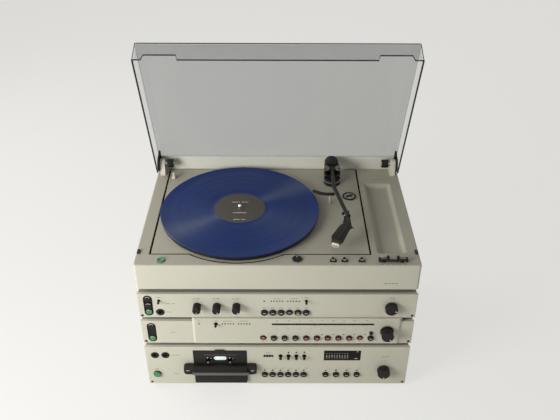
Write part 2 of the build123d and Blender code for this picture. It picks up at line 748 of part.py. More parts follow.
with BuildPart() as dust_cover:
    with BuildSketch(cover_frame.offset(rim_z)):
        with Locations((0, cover_mid_y)):
            RectangleRounded(unit_width, cover_length, cover_corner)
    extrude(amount=cover_height)
    fillet(dust_cover.faces().sort_by(Axis(hinge_point, cover_frame.z_dir))[-1].edges(), 2.5)
    with BuildSketch(cover_frame.offset(rim_z)):
        with Locations((0, cover_mid_y)):
            RectangleRounded(
                unit_width - 2 * cover_wall,
                cover_length - 2 * cover_wall,
                cover_corner - cover_wall,
            )
    extrude(amount=cover_height - cover_wall, mode=Mode.SUBTRACT)
    with BuildSketch(side_frame):
        with BuildLine():
            Polyline(
                (rear_cut_start, rim_z - 1),
                (rear_cut_start, rim_z),
                (cover_rear_y - cover_wall - 0.5, cover_rear_wall_start),
                (cover_rear_y + 1, cover_rear_wall_start),
                (cover_rear_y + 1, rim_z - 1),
                close=True,
            )
        make_face()
    extrude(amount=unit_width, both=True, mode=Mode.SUBTRACT)
    notch_mid = (cover_notch_inner + cover_notch_outer) / 2
    notch_length = cover_notch_outer - cover_notch_inner
    with BuildSketch(Plane(origin=hinge_point, x_dir=(1, 0, 0), z_dir=-cover_frame.y_dir)):
        with Locations((-notch_mid, rim_z), (notch_mid, rim_z)):
            Trapezoid(notch_length, cover_notch_height, 75, align=(Align.CENTER, Align.MIN))
    extrude(amount=hinge_y, mode=Mode.SUBTRACT)
save(dust_cover, "dust_cover")

arm_plate_inner = bracket_outer + fit_gap + 0.1
arm_plate_radius = 17
with BuildPart() as hinge_arms:
    for side in (-1, 1):
        with BuildSketch(side_frame.offset(side * arm_plate_inner)):
            Circle(arm_plate_radius)
            with Locations((-4, 0)):
                Rectangle(22, cover_top_z - cover_wall, align=(Align.CENTER, Align.MIN))
        extrude(amount=side * (half_width - cover_wall - arm_plate_inner))
        with BuildSketch(side_frame.offset(side * hinge_knob_inner)):
            Circle(hinge_pin_radius)
        extrude(amount=side * (half_width - cover_wall - hinge_knob_inner))
        with BuildSketch(side_frame.offset(side * hinge_knob_inner)):
            Circle(hinge_knob_radius)
        extrude(amount=side * (hinge_knob_outer - hinge_knob_inner))
save(hinge_arms, "hinge_arms")

with BuildPart() as hinge_brackets:
    for side in (-1, 1):
        bracket_side = (side * bracket_inner, hinge_point[1], 0)
        with BuildSketch(Plane(origin=bracket_side, x_dir=(0, 1, 0), z_dir=(1, 0, 0))):
            with BuildLine():
                Polyline(
                    (bracket_foot_front, deck),
                    (bracket_foot_front, deck + 3),
                    (-bracket_radius, deck + hinge_z),
                )
                CenterArc((0, deck + hinge_z), bracket_radius, 180, -180)
                Polyline(
                    (bracket_radius, deck + hinge_z),
                    (bracket_foot_rear, deck),
                    (bracket_foot_front, deck),
                )
            make_face()
        extrude(amount=side * (bracket_outer - bracket_inner))
    with BuildSketch(Plane(origin=hinge_point, x_dir=(0, 1, 0), z_dir=(1, 0, 0))):
        Circle(hinge_pin_radius + running_gap)
    extrude(amount=half_width, both=True, mode=Mode.SUBTRACT)
save(hinge_brackets, "hinge_brackets")


# ---------------------------------------------------------------- shells shared by the three lower units
def unit_case(bottom, height, vents):
    """A folded sheet case, open at the front, with screw posts and a row of top vents."""
    outer_width = unit_width - 4
    with BuildPart() as case:
        with BuildSketch(front(fascia_rear)):
            with Locations((0, bottom + height / 2)):
                Rectangle(outer_width, height - 1)
        extrude(amount=-(case_rear - fascia_rear))
        with BuildSketch(front(fascia_rear)):
            with Locations((0, bottom + height / 2)):
                Rectangle(outer_width - 2 * case_wall, height - 1 - 2 * case_wall)
        extrude(amount=-(case_rear - fascia_rear - case_wall), mode=Mode.SUBTRACT)
        with BuildSketch(front(fascia_rear)):
            with Locations(*[(sx * screw_x, bottom + screw_inset) for sx in (-1, 1)]):
                Rectangle(screw_post_width, screw_post_tall)
        extrude(amount=-screw_post_depth)
        with BuildSketch(front(fascia_rear)):
            with Locations(*[(sx * screw_x, bottom + screw_inset) for sx in (-1, 1)]):
                Circle(screw_radius + running_gap)
        extrude(amount=-screw_post_depth + 2, mode=Mode.SUBTRACT)
        with BuildSketch(level(bottom + height)):
            with Locations((0, plinth_rear - vent_length - 10)):
                with GridLocations(vent_pitch, 0, vents, 1):
                    SlotOverall(vent_length, vent_width, rotation=90)
        extrude(amount=-case_wall - 1, mode=Mode.SUBTRACT)
        with BuildSketch(front(case_rear)):
            with Locations((mains_x, bottom + height / 2)):
                Rectangle(inlet_width, inlet_tall)
            with Locations(*[(x, bottom + height / 2) for x in rear_socket_xs]):
                Circle(rear_socket_radius + fit_gap)
        extrude(amount=case_wall + 1, mode=Mode.SUBTRACT)
    return case


def fascia_plate(bottom, height):
    """The plain fascia plate with its screw holes, to be pierced for each unit's controls."""
    with BuildPart() as plate:
        with BuildSketch(level(bottom)):
            with Locations((0, (fascia_front + fascia_rear) / 2)):
                Rectangle(unit_width, fascia_thickness)
        extrude(amount=height)
        fillet(plate.faces().sort_by(Axis.Y)[0].edges(), 1.2)
        with BuildSketch(front(fascia_front)):
            with Locations(*[(sx * screw_x, bottom + screw_inset) for sx in (-1, 1)]):
                Circle(screw_head_radius + fit_gap)
        extrude(amount=-1.5, mode=Mode.SUBTRACT)
        with BuildSketch(front(fascia_front)):
            with Locations(*[(sx * screw_x, bottom + screw_inset) for sx in (-1, 1)]):
                Circle(screw_radius + fit_gap)
        extrude(amount=-fascia_thickness, mode=Mode.SUBTRACT)
    return plate.part


mains_x = 190
rear_socket_xs = (-150, -120, -60, -30)
rear_socket_radius = 8
through = -fascia_thickness - 4

amp_case = unit_case(amp_z, amp_height, 24)
save(amp_case, "amp_case")
tuner_case = unit_case(tuner_z, tuner_height, 10)
save(tuner_case, "tuner_case")
tape_case = unit_case(tape_z, tape_height, 10)
save(tape_case, "tape_case")

with BuildPart() as power_transformer:
    with BuildSketch(level(amp_z + case_wall + 0.5)):
        with Locations((transformer_x, transformer_y)):
            RectangleRounded(*transformer_coil, 4)
    extrude(amount=transformer_base)
    with BuildSketch(level(amp_z + case_wall + 0.5 + transformer_base)):
        with Locations((transformer_x, transformer_y)):
            RectangleRounded(*transformer_core, 3)
    extrude(amount=transformer_height)
save(power_transformer, "power_transformer")

# ---------------------------------------------------------------- amplifier fascia and controls
amp_knob_z = amp_z + amp_knob_height
amp_pill_z = amp_z + amp_pill_height
pill_key_zs = [amp_pill_z + n * pill_key_pitch for n in (1, 0, -1)]
pill_depth = 2
amp_led_xs = [amp_led_first] + [x for first in amp_led_rows for x in row(first, led_pitch, 5)]

with BuildPart() as amp_fascia:
    add(fascia_plate(amp_z, amp_height))
    with BuildSketch(front(fascia_front)):
        with Locations((pill_x, amp_pill_z)):
            SlotOverall(pill_length + 1, pill_width, rotation=90)
    extrude(amount=-pill_depth, mode=Mode.SUBTRACT)
    with BuildSketch(front(fascia_front)):
        with Locations(*[(pill_x, z) for z in pill_key_zs]):
            Circle(pill_key_radius + key_gap)
        with Locations(*[(x, amp_knob_z) for x in amp_knob_xs], (volume_x, amp_z + volume_height)):
            Circle(knob_shaft_radius + running_gap)
        with Locations(*[(x, amp_z + amp_key_height) for x in amp_key_xs]):
            Circle(amp_key_radius + key_gap)
        with Locations(*[(x, amp_z + amp_toggle_height) for x in amp_toggle_xs]):
            Circle(toggle_hole_radius)
        with Locations((amp_jack_x, amp_z + amp_jack_height)):
            Circle(socket_body_radius)
        with Locations(*[(x, amp_z + amp_led_height) for x in amp_led_xs]):
            Circle(led_radius)
    extrude(amount=through, mode=Mode.SUBTRACT)
save(amp_fascia, "amp_fascia")


def keys(places, radius, proud, face=fascia_front):
    """Round push keys with domed fronts, standing proud of a face and reaching behind it."""
    with BuildPart() as group:
        with BuildSketch(front(face - proud)):
            with Locations(*places):
                Circle(radius)
        extrude(amount=-(proud + fascia_rear - face + key_tail))
        fillet(group.faces().filter_by(Axis.Y).group_by(Axis.Y)[0].edges(), min(2, radius / 3))
    return group


def knob(x, z, radius, reach, face=fascia_front, flange=None):
    """A turned knob on a shaft that passes through the fascia, with a rim round its front."""
    with BuildPart() as turned:
        with BuildSketch(front(face - reach)):
            with Locations((x, z)):
                Circle(radius)
        extrude(amount=-(reach - 0.5))
        chamfer(turned.faces().sort_by(Axis.Y)[0].edges(), 0.8)
        if flange:
            with BuildSketch(front(face - 3)):
                with Locations((x, z)):
                    Circle(flange)
            extrude(amount=-2.5)
        with BuildSketch(front(face - 1)):
            with Locations((x, z)):
                Circle(knob_shaft_radius)
        extrude(amount=-(fascia_rear - face + 9))
    return turned


key_proud = 4.5
pill_key_proud = 3
amp_power_key = keys([(pill_x, pill_key_zs[2])], pill_key_radius, pill_key_proud)
save(amp_power_key, "amp_power_key")
source_keys = keys([(x, amp_z + amp_key_height) for x in amp_key_xs], amp_key_radius, key_proud)
save(source_keys, "source_keys")
for name, x in zip(("bass_knob", "treble_knob", "balance_knob"), amp_knob_xs):
    save(knob(x, amp_knob_z, amp_knob_radius, amp_knob_reach), name)
save(knob(volume_x, amp_z + volume_height, volume_radius, volume_reach), "volume_knob")


def toggles(places, face=fascia_front):
    """Small bat levers on a cross axle, just behind the face that they stand out of."""
    with BuildPart() as levers:
        with BuildSketch(front(face - toggle_reach)):
            with Locations(*places):
                Circle(toggle_radius)
        extrude(amount=-(toggle_reach + 5))
        fillet(levers.faces().filter_by(Axis.Y).group_by(Axis.Y)[0].edges(), toggle_radius * 0.6)
        for x, z in places:
            with Locations((x, face + 4, z)):
                Cylinder(1.4, 2 * toggle_hole_radius - 1, rotation=(0, 90, 0))
    return levers


amp_toggles = toggles([(x, amp_z + amp_toggle_height) for x in amp_toggle_xs])
save(amp_toggles, "amp_toggles")

# ---------------------------------------------------------------- tuner fascia, scale panel and controls
tuner_pill_z = tuner_z + tuner_pill_height
tuner_pill_keys = [tuner_pill_z + pill_key_pitch, tuner_pill_z - pill_key_pitch]
panel_face = fascia_front - tuner_panel_proud
scale_z = tuner_z + scale_height
tuner_lamp_z = tuner_z + tuner_lamp_height
tuner_led_xs = [tuner_led_first] + [x for first in tuner_led_rows for x in row(first, led_pitch, 5)]
tuner_key_z = tuner_z + tuner_key_height
small_key_z = tuner_z + small_key_height
tuning_z = tuner_z + tuning_height
panel_hole_cut = -(tuner_panel_proud + fascia_thickness + 4)


def tuner_panel_holes():
    """The sketch of all that passes through both the scale panel and the fascia behind it."""
    with BuildSketch(front(panel_face)) as holes:
        with Locations(*[(x, tuner_key_z) for x in tuner_key_xs]):
            Circle(tuner_key_radius + key_gap)
        with Locations((tuning_x, tuning_z)):
            Circle(knob_shaft_radius + running_gap)
        with Locations((tuner_key_xs[-1], small_key_z)):
            Circle(small_key_radius + key_gap)
        with Locations((tuner_toggle_x, tuner_lamp_z)):
            Circle(toggle_hole_radius)
        with Locations(*[(x, tuner_lamp_z) for x in tuner_led_xs]):
            Circle(led_radius)
        with Locations(((scale_left + scale_right) / 2, scale_z)):
            Rectangle(scale_right - scale_left, scale_slot)
    return holes.sketch


with BuildPart() as tuner_fascia:
    add(fascia_plate(tuner_z, tuner_height))
    with BuildSketch(front(fascia_front)):
        with Locations((pill_x, tuner_pill_z)):
            SlotOverall(pill_length, pill_width, rotation=90)
    extrude(amount=-pill_depth, mode=Mode.SUBTRACT)
    with BuildSketch(front(fascia_front)):
        with Locations(*[(pill_x, z) for z in tuner_pill_keys]):
            Circle(pill_key_radius + key_gap)
    extrude(amount=through, mode=Mode.SUBTRACT)
    extrude(tuner_panel_holes(), amount=panel_hole_cut, mode=Mode.SUBTRACT)
save(tuner_fascia, "tuner_fascia")

with BuildPart() as scale_panel:
    with BuildSketch(level(tuner_z + tuner_panel_bottom)):
        with BuildLine():
            Polyline(
                (tuner_panel_left - tuner_bevel, fascia_front),
                (tuner_panel_left, panel_face),
                (tuner_panel_right, panel_face),
                (tuner_panel_right + tuner_bevel, fascia_front),
                close=True,
            )
        make_face()
    extrude(amount=tuner_height + tuner_panel_rise - tuner_panel_bottom)
    extrude(tuner_panel_holes(), amount=panel_hole_cut, mode=Mode.SUBTRACT)
save(scale_panel, "scale_panel")

with BuildPart() as station_keys:
    add(keys([(x, tuner_key_z) for x in tuner_key_xs], tuner_key_radius, key_proud, panel_face).part)
    add(keys([(tuner_key_xs[-1], small_key_z)], small_key_radius, key_proud, panel_face).part)
save(station_keys, "station_keys")
save(keys([(pill_x, tuner_pill_keys[1])], pill_key_radius, pill_key_proud), "tuner_power_key")
pill_places = [(pill_x, z) for z in pill_key_zs[:2] + tuner_pill_keys[:1]]
save(keys(pill_places, pill_key_radius, pill_key_proud), "pill_keys")
save(knob(tuning_x, tuning_z, tuning_radius, tuning_knob_reach - tuner_panel_proud, panel_face,
          tuning_flange_radius), "tuning_knob")
save(toggles([(tuner_toggle_x, tuner_lamp_z)], panel_face), "tuner_toggle")

with BuildPart() as dial_pointer:
    with BuildSketch(front(panel_face - 0.8)):
        with Locations((pointer_x, scale_z)):
            Rectangle(1.6, scale_slot + 3.4)
    extrude(amount=-0.5)
    with BuildSketch(front(panel_face - 0.5)):
        with Locations((pointer_x, scale_z)):
            Rectangle(1.2, scale_slot - 2 * fit_gap)
    extrude(amount=-(fascia_rear - panel_face + 4))
save(dial_pointer, "dial_pointer")

# ---------------------------------------------------------------- cassette deck
bay_mid = (bay_left + bay_right) / 2
bay_width = bay_right - bay_left
bay_depth = 26
door_pin_length = 4
door_hinge_z = tape_z + door_hinge_height
door_hinge_y = fascia_front + door_pin_depth
hub_z = tape_z + hub_height
tape_row_z = tape_z + tape_key_height
toggle_row_z = tape_z + tape_toggle_height
tape_led_points = [(x, tape_z + tape_toggle_led_height) for x in tape_toggle_xs[1:]]
tape_led_points += [(x, tape_z + tape_key_led_height) for x in tape_key_xs + mode_key_xs]
display_mid = ((display_left + display_right) / 2, tape_z + (display_bottom + display_top) / 2)
counter_mid = ((counter_left + counter_right) / 2, tape_z + counter_height)

with BuildPart() as tape_fascia:
    add(fascia_plate(tape_z, tape_height))
    with BuildSketch(front(fascia_front)):
        with Locations((bay_mid, tape_z)):
            Rectangle(bay_width, bay_top, align=(Align.CENTER, Align.MIN))
        with Locations(*[(x, tape_row_z) for x in tape_key_xs + mode_key_xs]):
            Circle(tape_key_radius + key_gap)
        with Locations((tape_power_x, tape_z + tape_power_height)):
            Circle(tape_power_radius + key_gap)
        with Locations((level_x, tape_z + level_height)):
            Circle(knob_shaft_radius + running_gap)
        with Locations(*[(x, toggle_row_z) for x in tape_toggle_xs]):
            Circle(toggle_hole_radius)
        with Locations(*[(x, tape_z + tape_socket_height) for x in tape_socket_xs]):
            Circle(socket_body_radius)
        with Locations(*tape_led_points):
            Circle(tape_led_radius)
        with Locations(display_mid):
            Rectangle(display_right - display_left, display_top - display_bottom)
        with Locations(counter_mid):
            Rectangle(counter_right - counter_left, counter_tall)
    extrude(amount=through, mode=Mode.SUBTRACT)
    with BuildSketch(Plane(origin=(bay_mid, door_hinge_y, door_hinge_z), z_dir=(1, 0, 0))):
        Circle(door_pin_radius + running_gap)
    extrude(amount=bay_width / 2 + door_pin_length, both=True, mode=Mode.SUBTRACT)
save(tape_fascia, "tape_fascia")

bay_wall = 2
mechanism_bottom = 2.2
tape_block_depth = 40
with BuildPart() as tape_mechanism:
    with BuildSketch(front(fascia_rear)):
        with Locations((bay_mid, tape_z + mechanism_bottom)):
            Rectangle(bay_width + 2 * bay_wall, bay_top - mechanism_bottom + bay_wall,
                      align=(Align.CENTER, Align.MIN))
    extrude(amount=-(bay_depth + tape_block_depth))
    with BuildSketch(front(fascia_rear)):
        with Locations((bay_mid, tape_z + mechanism_bottom)):
            Rectangle(bay_width, bay_top - mechanism_bottom, align=(Align.CENTER, Align.MIN))
    extrude(amount=-bay_depth, mode=Mode.SUBTRACT)
    with BuildSketch(front(fascia_rear + bay_depth)):
        with Locations(*[(x, hub_z) for x in hub_xs]):
            Circle(2 + running_gap)
    extrude(amount=-20, mode=Mode.SUBTRACT)
save(tape_mechanism, "tape_mechanism")

hub_front = fascia_front + 4
for name, x in zip(("supply_hub", "takeup_hub"), hub_xs):
    with BuildPart() as hub:
        with BuildSketch(front(hub_front)):
            with Locations((x, hub_z)):
                Circle(hub_radius - 1.4)
                with PolarLocations(hub_radius - 1.6, 3):
                    Rectangle(3.2, 1.4)
        extrude(amount=-(fascia_rear + bay_depth - 1 - hub_front))
        with BuildSketch(front(fascia_rear + bay_depth - 1)):
            with Locations((x, hub_z)):
                Circle(2)
        extrude(amount=-16)
    save(hub, name)

# The door: a window plate with a finger tab, a raised cross-piece between two end lugs, and a press
# plate below. It turns on two pins in the sides of the fascia's opening.
door_face = fascia_front - 1
door_thickness = 4.5
door_gap = 0.8
lug_gap = 1.3
window_half, window_tall, window_height = 12.8, 11.5, 70.5
hub_window_radius = 6.5
lug_bottom, lug_top = 36, 58.5
with BuildPart() as cassette_door:
    with BuildSketch(front(door_face)):
        with Locations((bay_mid, tape_z + door_bottom)):
            Rectangle(bay_width - 2 * door_gap, bay_top - door_bottom - door_gap,
                      align=(Align.CENTER, Align.MIN))
        with Locations((bay_mid, tape_z + window_height)):
            SlotOverall(2 * window_half, window_tall, mode=Mode.SUBTRACT)
        with Locations(*[(x, hub_z) for x in hub_xs]):
            Circle(hub_window_radius, mode=Mode.SUBTRACT)
    extrude(amount=-door_thickness)
    with BuildSketch(front(door_face)):
        with Locations((bay_mid, tape_z + bay_top)):
            RectangleRounded(2 * door_tab_half, 6, 1.5)
    extrude(amount=2)
    with BuildSketch(Plane(origin=(bay_left + door_gap, 0, 0), x_dir=(0, 1, 0), z_dir=(1, 0, 0))):
        with BuildLine():
            Polyline(
                (door_face, tape_z + cross_top),
                (door_face - cross_proud + 4, tape_z + cross_top),
                (door_face - cross_proud, tape_z + cross_top - 8),
                (door_face - cross_proud, tape_z + cross_bottom + 3),
                (door_face - cross_proud + 3, tape_z + cross_bottom),
                (door_face, tape_z + cross_bottom),
                close=True,
            )
        make_face()
    extrude(amount=bay_width - 2 * door_gap)
    with BuildSketch(Plane(origin=(bay_mid, door_hinge_y, door_hinge_z), z_dir=(1, 0, 0))):
        Circle(door_pin_radius)
    extrude(amount=bay_width / 2 + door_pin_length - fit_gap, both=True)
    with BuildSketch(front(fascia_front - lug_gap)):
        with Locations(((door_lug_left + door_lug_right) / 2, tape_z + (lug_bottom + lug_top) / 2)):
            RectangleRounded(door_lug_right - door_lug_left, lug_top - lug_bottom, 6)
    extrude(amount=lug_proud)
save(cassette_door, "cassette_door")

save(keys([(x, tape_row_z) for x in tape_key_xs + mode_key_xs], tape_key_radius, key_proud), "tape_keys")
save(keys([(tape_power_x, tape_z + tape_power_height)], tape_power_radius, pill_key_proud), "tape_power_key")
save(toggles([(x, toggle_row_z) for x in tape_toggle_xs]), "tape_toggles")
save(knob(level_x, tape_z + level_height, level_radius, level_reach), "level_knob")

# ---------------------------------------------------------------- lamps, windows, sockets, screws, feet
with BuildPart() as indicator_lenses:
    with BuildSketch(front(fascia_front - 0.5)):
        with Locations(*[(x, amp_z + amp_led_height) for x in amp_led_xs]):
            Circle(led_radius)
        with Locations(*tape_led_points):
            Circle(tape_led_radius)
    extrude(amount=-led_depth)
    with BuildSketch(front(panel_face - 0.5)):
        with Locations(*[(x, tuner_lamp_z) for x in tuner_led_xs]):
            Circle(led_radius)
    extrude(amount=-led_depth)
save(indicator_lenses, "indicator_lenses")

window_inset = 0.4
with BuildPart() as display_windows:
    with BuildSketch(front(fascia_front + window_inset)):
        with Locations(display_mid):
            Rectangle(display_right - display_left, display_top - display_bottom)
        with Locations(counter_mid):
            Rectangle(counter_right - counter_left, counter_tall)
    extrude(amount=-3)
save(display_windows, "display_windows")

socket_length = 18
front_sockets = [(amp_jack_x, amp_z + amp_jack_height)]
front_sockets += [(x, tape_z + tape_socket_height) for x in tape_socket_xs]
unit_mids = [(amp_z + amp_height / 2), (tuner_z + tuner_height / 2), (tape_z + tape_height / 2)]
phono_barrel_radius, phono_bore_radius = 4.2, 1.6
inlet_wall = 2
with BuildPart() as sockets:
    with BuildSketch(front(fascia_front - 1.2)):
        with Locations(*front_sockets):
            Circle(socket_ring_radius)
    extrude(amount=-1.2)
    with BuildSketch(front(fascia_front)):
        with Locations(*front_sockets):
            Circle(socket_body_radius)
    extrude(amount=-socket_length)
    with BuildSketch(front(fascia_front - 1.2)):
        with Locations(*front_sockets):
            Circle(socket_bore_radius)
    extrude(amount=-socket_length + 2, mode=Mode.SUBTRACT)
    with BuildSketch(front(case_rear + 1.5)):
        with Locations(*[(x, z) for x in rear_socket_xs for z in unit_mids]):
            Circle(rear_socket_radius)
    extrude(amount=case_wall + 3.5)
    with BuildSketch(front(socket_tip)):
        with Locations(*[(x, z) for x in rear_socket_xs for z in unit_mids]):
            Circle(phono_barrel_radius)
    extrude(amount=socket_tip - case_rear)
    with BuildSketch(front(socket_tip)):
        with Locations(*[(x, z) for x in rear_socket_xs for z in unit_mids]):
            Circle(phono_bore_radius)
    extrude(amount=socket_tip - case_rear - 1, mode=Mode.SUBTRACT)
    for rear, z in [(plinth_rear, plinth_z + plinth_height / 2)] + [(case_rear, mid) for mid in unit_mids]:
        with BuildSketch(front(rear + 1)):
            with Locations((mains_x, z)):
                Rectangle(inlet_width - 2 * fit_gap, inlet_tall - 2 * fit_gap)
        extrude(amount=inlet_depth + 1)
        with BuildSketch(front(rear + 1)):
            with Locations((mains_x, z)):
                Rectangle(inlet_width - 2 * inlet_wall, inlet_tall - 2 * inlet_wall)
        extrude(amount=inlet_depth - 1, mode=Mode.SUBTRACT)
        with BuildSketch(front(rear - 1)):
            with Locations((mains_x - 4, z), (mains_x + 4, z)):
                Circle(1.1)
        extrude(amount=inlet_depth - 4)
save(sockets, "sockets")

screw_points = [(sx * screw_x, z + screw_inset) for sx in (-1, 1) for z in (amp_z, tuner_z, tape_z)]
with BuildPart() as fascia_screws:
    with BuildSketch(front(fascia_front + 0.3)):
        with Locations(*screw_points):
            Circle(screw_head_radius)
    extrude(amount=-1.2)
    with BuildSketch(front(fascia_front + 1)):
        with Locations(*screw_points):
            Circle(screw_radius)
    extrude(amount=-15)
save(fascia_screws, "fascia_screws")

foot_x, foot_inset = 205, 32
foot_levels = (
    (0, feet_height + 0.5, 13),
    (tape_z + tape_height - 0.5, tape_tuner_gap + 1, 9),
    (tuner_z + tuner_height - 0.5, tuner_amp_gap + 1, 9),
    (amp_z + amp_height - 0.5, amp_plinth_gap + 0.5, 9),
)
pad_x, pad_y, pad_width, pad_length, pad_height = 245.5, 37, 5, 11, 2.6
with BuildPart() as feet_and_pads:
    for bottom, height, radius in foot_levels:
        with BuildSketch(level(bottom)):
            with Locations(*[(sx * foot_x, y) for sx in (-1, 1)
                             for y in (fascia_rear + foot_inset, case_rear - foot_inset)]):
                Circle(radius)
        extrude(amount=height)
    with BuildSketch(level(deck)):
        with Locations(*[(side * pad_x, plinth_front + pad_y) for side in (-1, 1)]):
            Rectangle(pad_width, pad_length)
    extrude(amount=pad_height)
save(feet_and_pads, "feet_and_pads")
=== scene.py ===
"""Stereo music centre: the finished surfaces and fine detail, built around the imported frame."""

import math

import bmesh
import bpy
from bpy.props import FloatProperty, FloatVectorProperty, IntProperty, PointerProperty
from bpy.types import Operator, Panel, PropertyGroup
from mathutils import Matrix, Vector


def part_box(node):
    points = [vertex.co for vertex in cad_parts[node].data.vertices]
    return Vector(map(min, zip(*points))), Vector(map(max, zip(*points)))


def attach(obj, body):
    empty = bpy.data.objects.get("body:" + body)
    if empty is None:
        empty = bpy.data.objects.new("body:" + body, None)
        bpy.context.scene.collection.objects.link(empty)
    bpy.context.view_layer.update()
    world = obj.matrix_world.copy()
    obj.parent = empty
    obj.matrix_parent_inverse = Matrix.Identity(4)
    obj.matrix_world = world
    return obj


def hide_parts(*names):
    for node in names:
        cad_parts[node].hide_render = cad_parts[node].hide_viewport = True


bl_info = {
    "name": "Stereo Music Centre",
    "version": (1, 0, 0),
    "blender": (4, 5, 0),
    "location": "View3D > Sidebar > Music Centre",
    "description": "Finishes and details a record player, amplifier, tuner and cassette deck",
    "category": "Add Mesh",
}

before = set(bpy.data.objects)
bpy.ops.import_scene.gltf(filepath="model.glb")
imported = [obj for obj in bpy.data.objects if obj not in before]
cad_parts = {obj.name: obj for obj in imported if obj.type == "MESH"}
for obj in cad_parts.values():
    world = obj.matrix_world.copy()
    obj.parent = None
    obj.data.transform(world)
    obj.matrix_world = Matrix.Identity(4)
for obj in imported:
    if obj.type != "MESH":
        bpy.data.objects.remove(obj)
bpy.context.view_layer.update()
MM = 0.001


def corners(node):
    """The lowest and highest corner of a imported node, in millimetres."""
    low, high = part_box(node)
    return low / MM, high / MM


def middle(node):
    """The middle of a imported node, in millimetres."""
    low, high = corners(node)
    return (low + high) / 2


# Places read off the frame, in millimetres.
FRONT = round(corners("amp_fascia")[0].y, 2)
PANEL_FRONT = round(corners("scale_panel")[0].y, 2)
PLINTH_FRONT = round(corners("plinth")[0].y, 2)
DECK = round(corners("subchassis")[1].z + 0.5, 2)
PANEL_TOP = DECK - 0.5
SPINDLE = middle("record")
TAPE = round(corners("tape_fascia")[0].z, 2)
TUNER = round(corners("tuner_fascia")[0].z, 2)
AMP = round(corners("amp_fascia")[0].z, 2)
PIVOT = Vector((110.8, PLINTH_FRONT + 278, DECK + 27))
AMP_REAR = corners("amp_case")[1].y
PLINTH_REAR = corners("plinth")[1].y

# The dust cover's own frame: its origin is on the hinge line, and the cover stands in it as if shut.
HINGE = Vector((0, PLINTH_FRONT + 307, DECK + 22))
OPEN_ANGLE = math.radians(69.5)
LEAN, RISE = math.cos(OPEN_ANGLE), math.sin(OPEN_ANGLE)
COVER = Matrix.Translation(HINGE) @ Matrix(((1, 0, 0), (0, LEAN, RISE), (0, -RISE, LEAN))).to_4x4()
WALL_END, SHEET_START = 20.5, 21.8  # heights in that frame between which a wall turns into the sheet
WALL_OPACITY, SHEET_OPACITY = 0.13, 0.31

# Rows of controls on the fronts.
SOURCE_KEYS = [-23.6 + 15.1 * n for n in range(6)]
STATION_KEYS = [-26.5 + 19.9 * n for n in range(11)]
TAPE_KEYS = [-24.3 + 15.05 * n for n in range(6)] + [93.2 + 20.2 * n for n in range(4)]
TAPE_TOGGLES = (6, 21, 36, 51)
AMP_TOGGLES = (-211.8, 51.6)
TUNER_TOGGLE = -112.2
TUNER_ROW = TUNER + 52.6
AMP_LAMPS = AMP + 39.8
LAMP_PITCH = 5.07
PILL_X, PILL_PITCH = -231.6, 15.5
AMP_PILL, TUNER_PILL = AMP + 28.8, TUNER + 27.7
DIAL_X, DIAL_Z = 83.25, TUNER + 51.7
HUBS = (-130.5, -88.2)
UNIT_MIDDLES = (AMP + 27.75, TUNER + 27.75, TAPE + 50)
CASE_HEIGHT, TAPE_HEIGHT, PLINTH_HEIGHT = 55.5, 100, 54


# ---------------------------------------------------------------- sizes and colours
def linear(*screen):
    """A screen colour of 0 to 255 as the linear numbers that a shader takes."""
    return tuple(c / 255 / 12.92 if c <= 10 else ((c / 255 + 0.055) / 1.055) ** 2.4 for c in screen)


def colour(name, description, *screen):
    """A colour property with a default given as a screen colour."""
    return FloatVectorProperty(
        name=name, description=description, default=linear(*screen), subtype="COLOR", size=3, min=0, max=1
    )


def length(name, description, default):
    """A length property, in millimetres."""
    return FloatProperty(name=f"{name} (mm)", description=description, default=default, min=0)


def amount(name, description, default):
    """A number property for a lamp's power or a strength."""
    return FloatProperty(name=name, description=description, default=default, min=0)


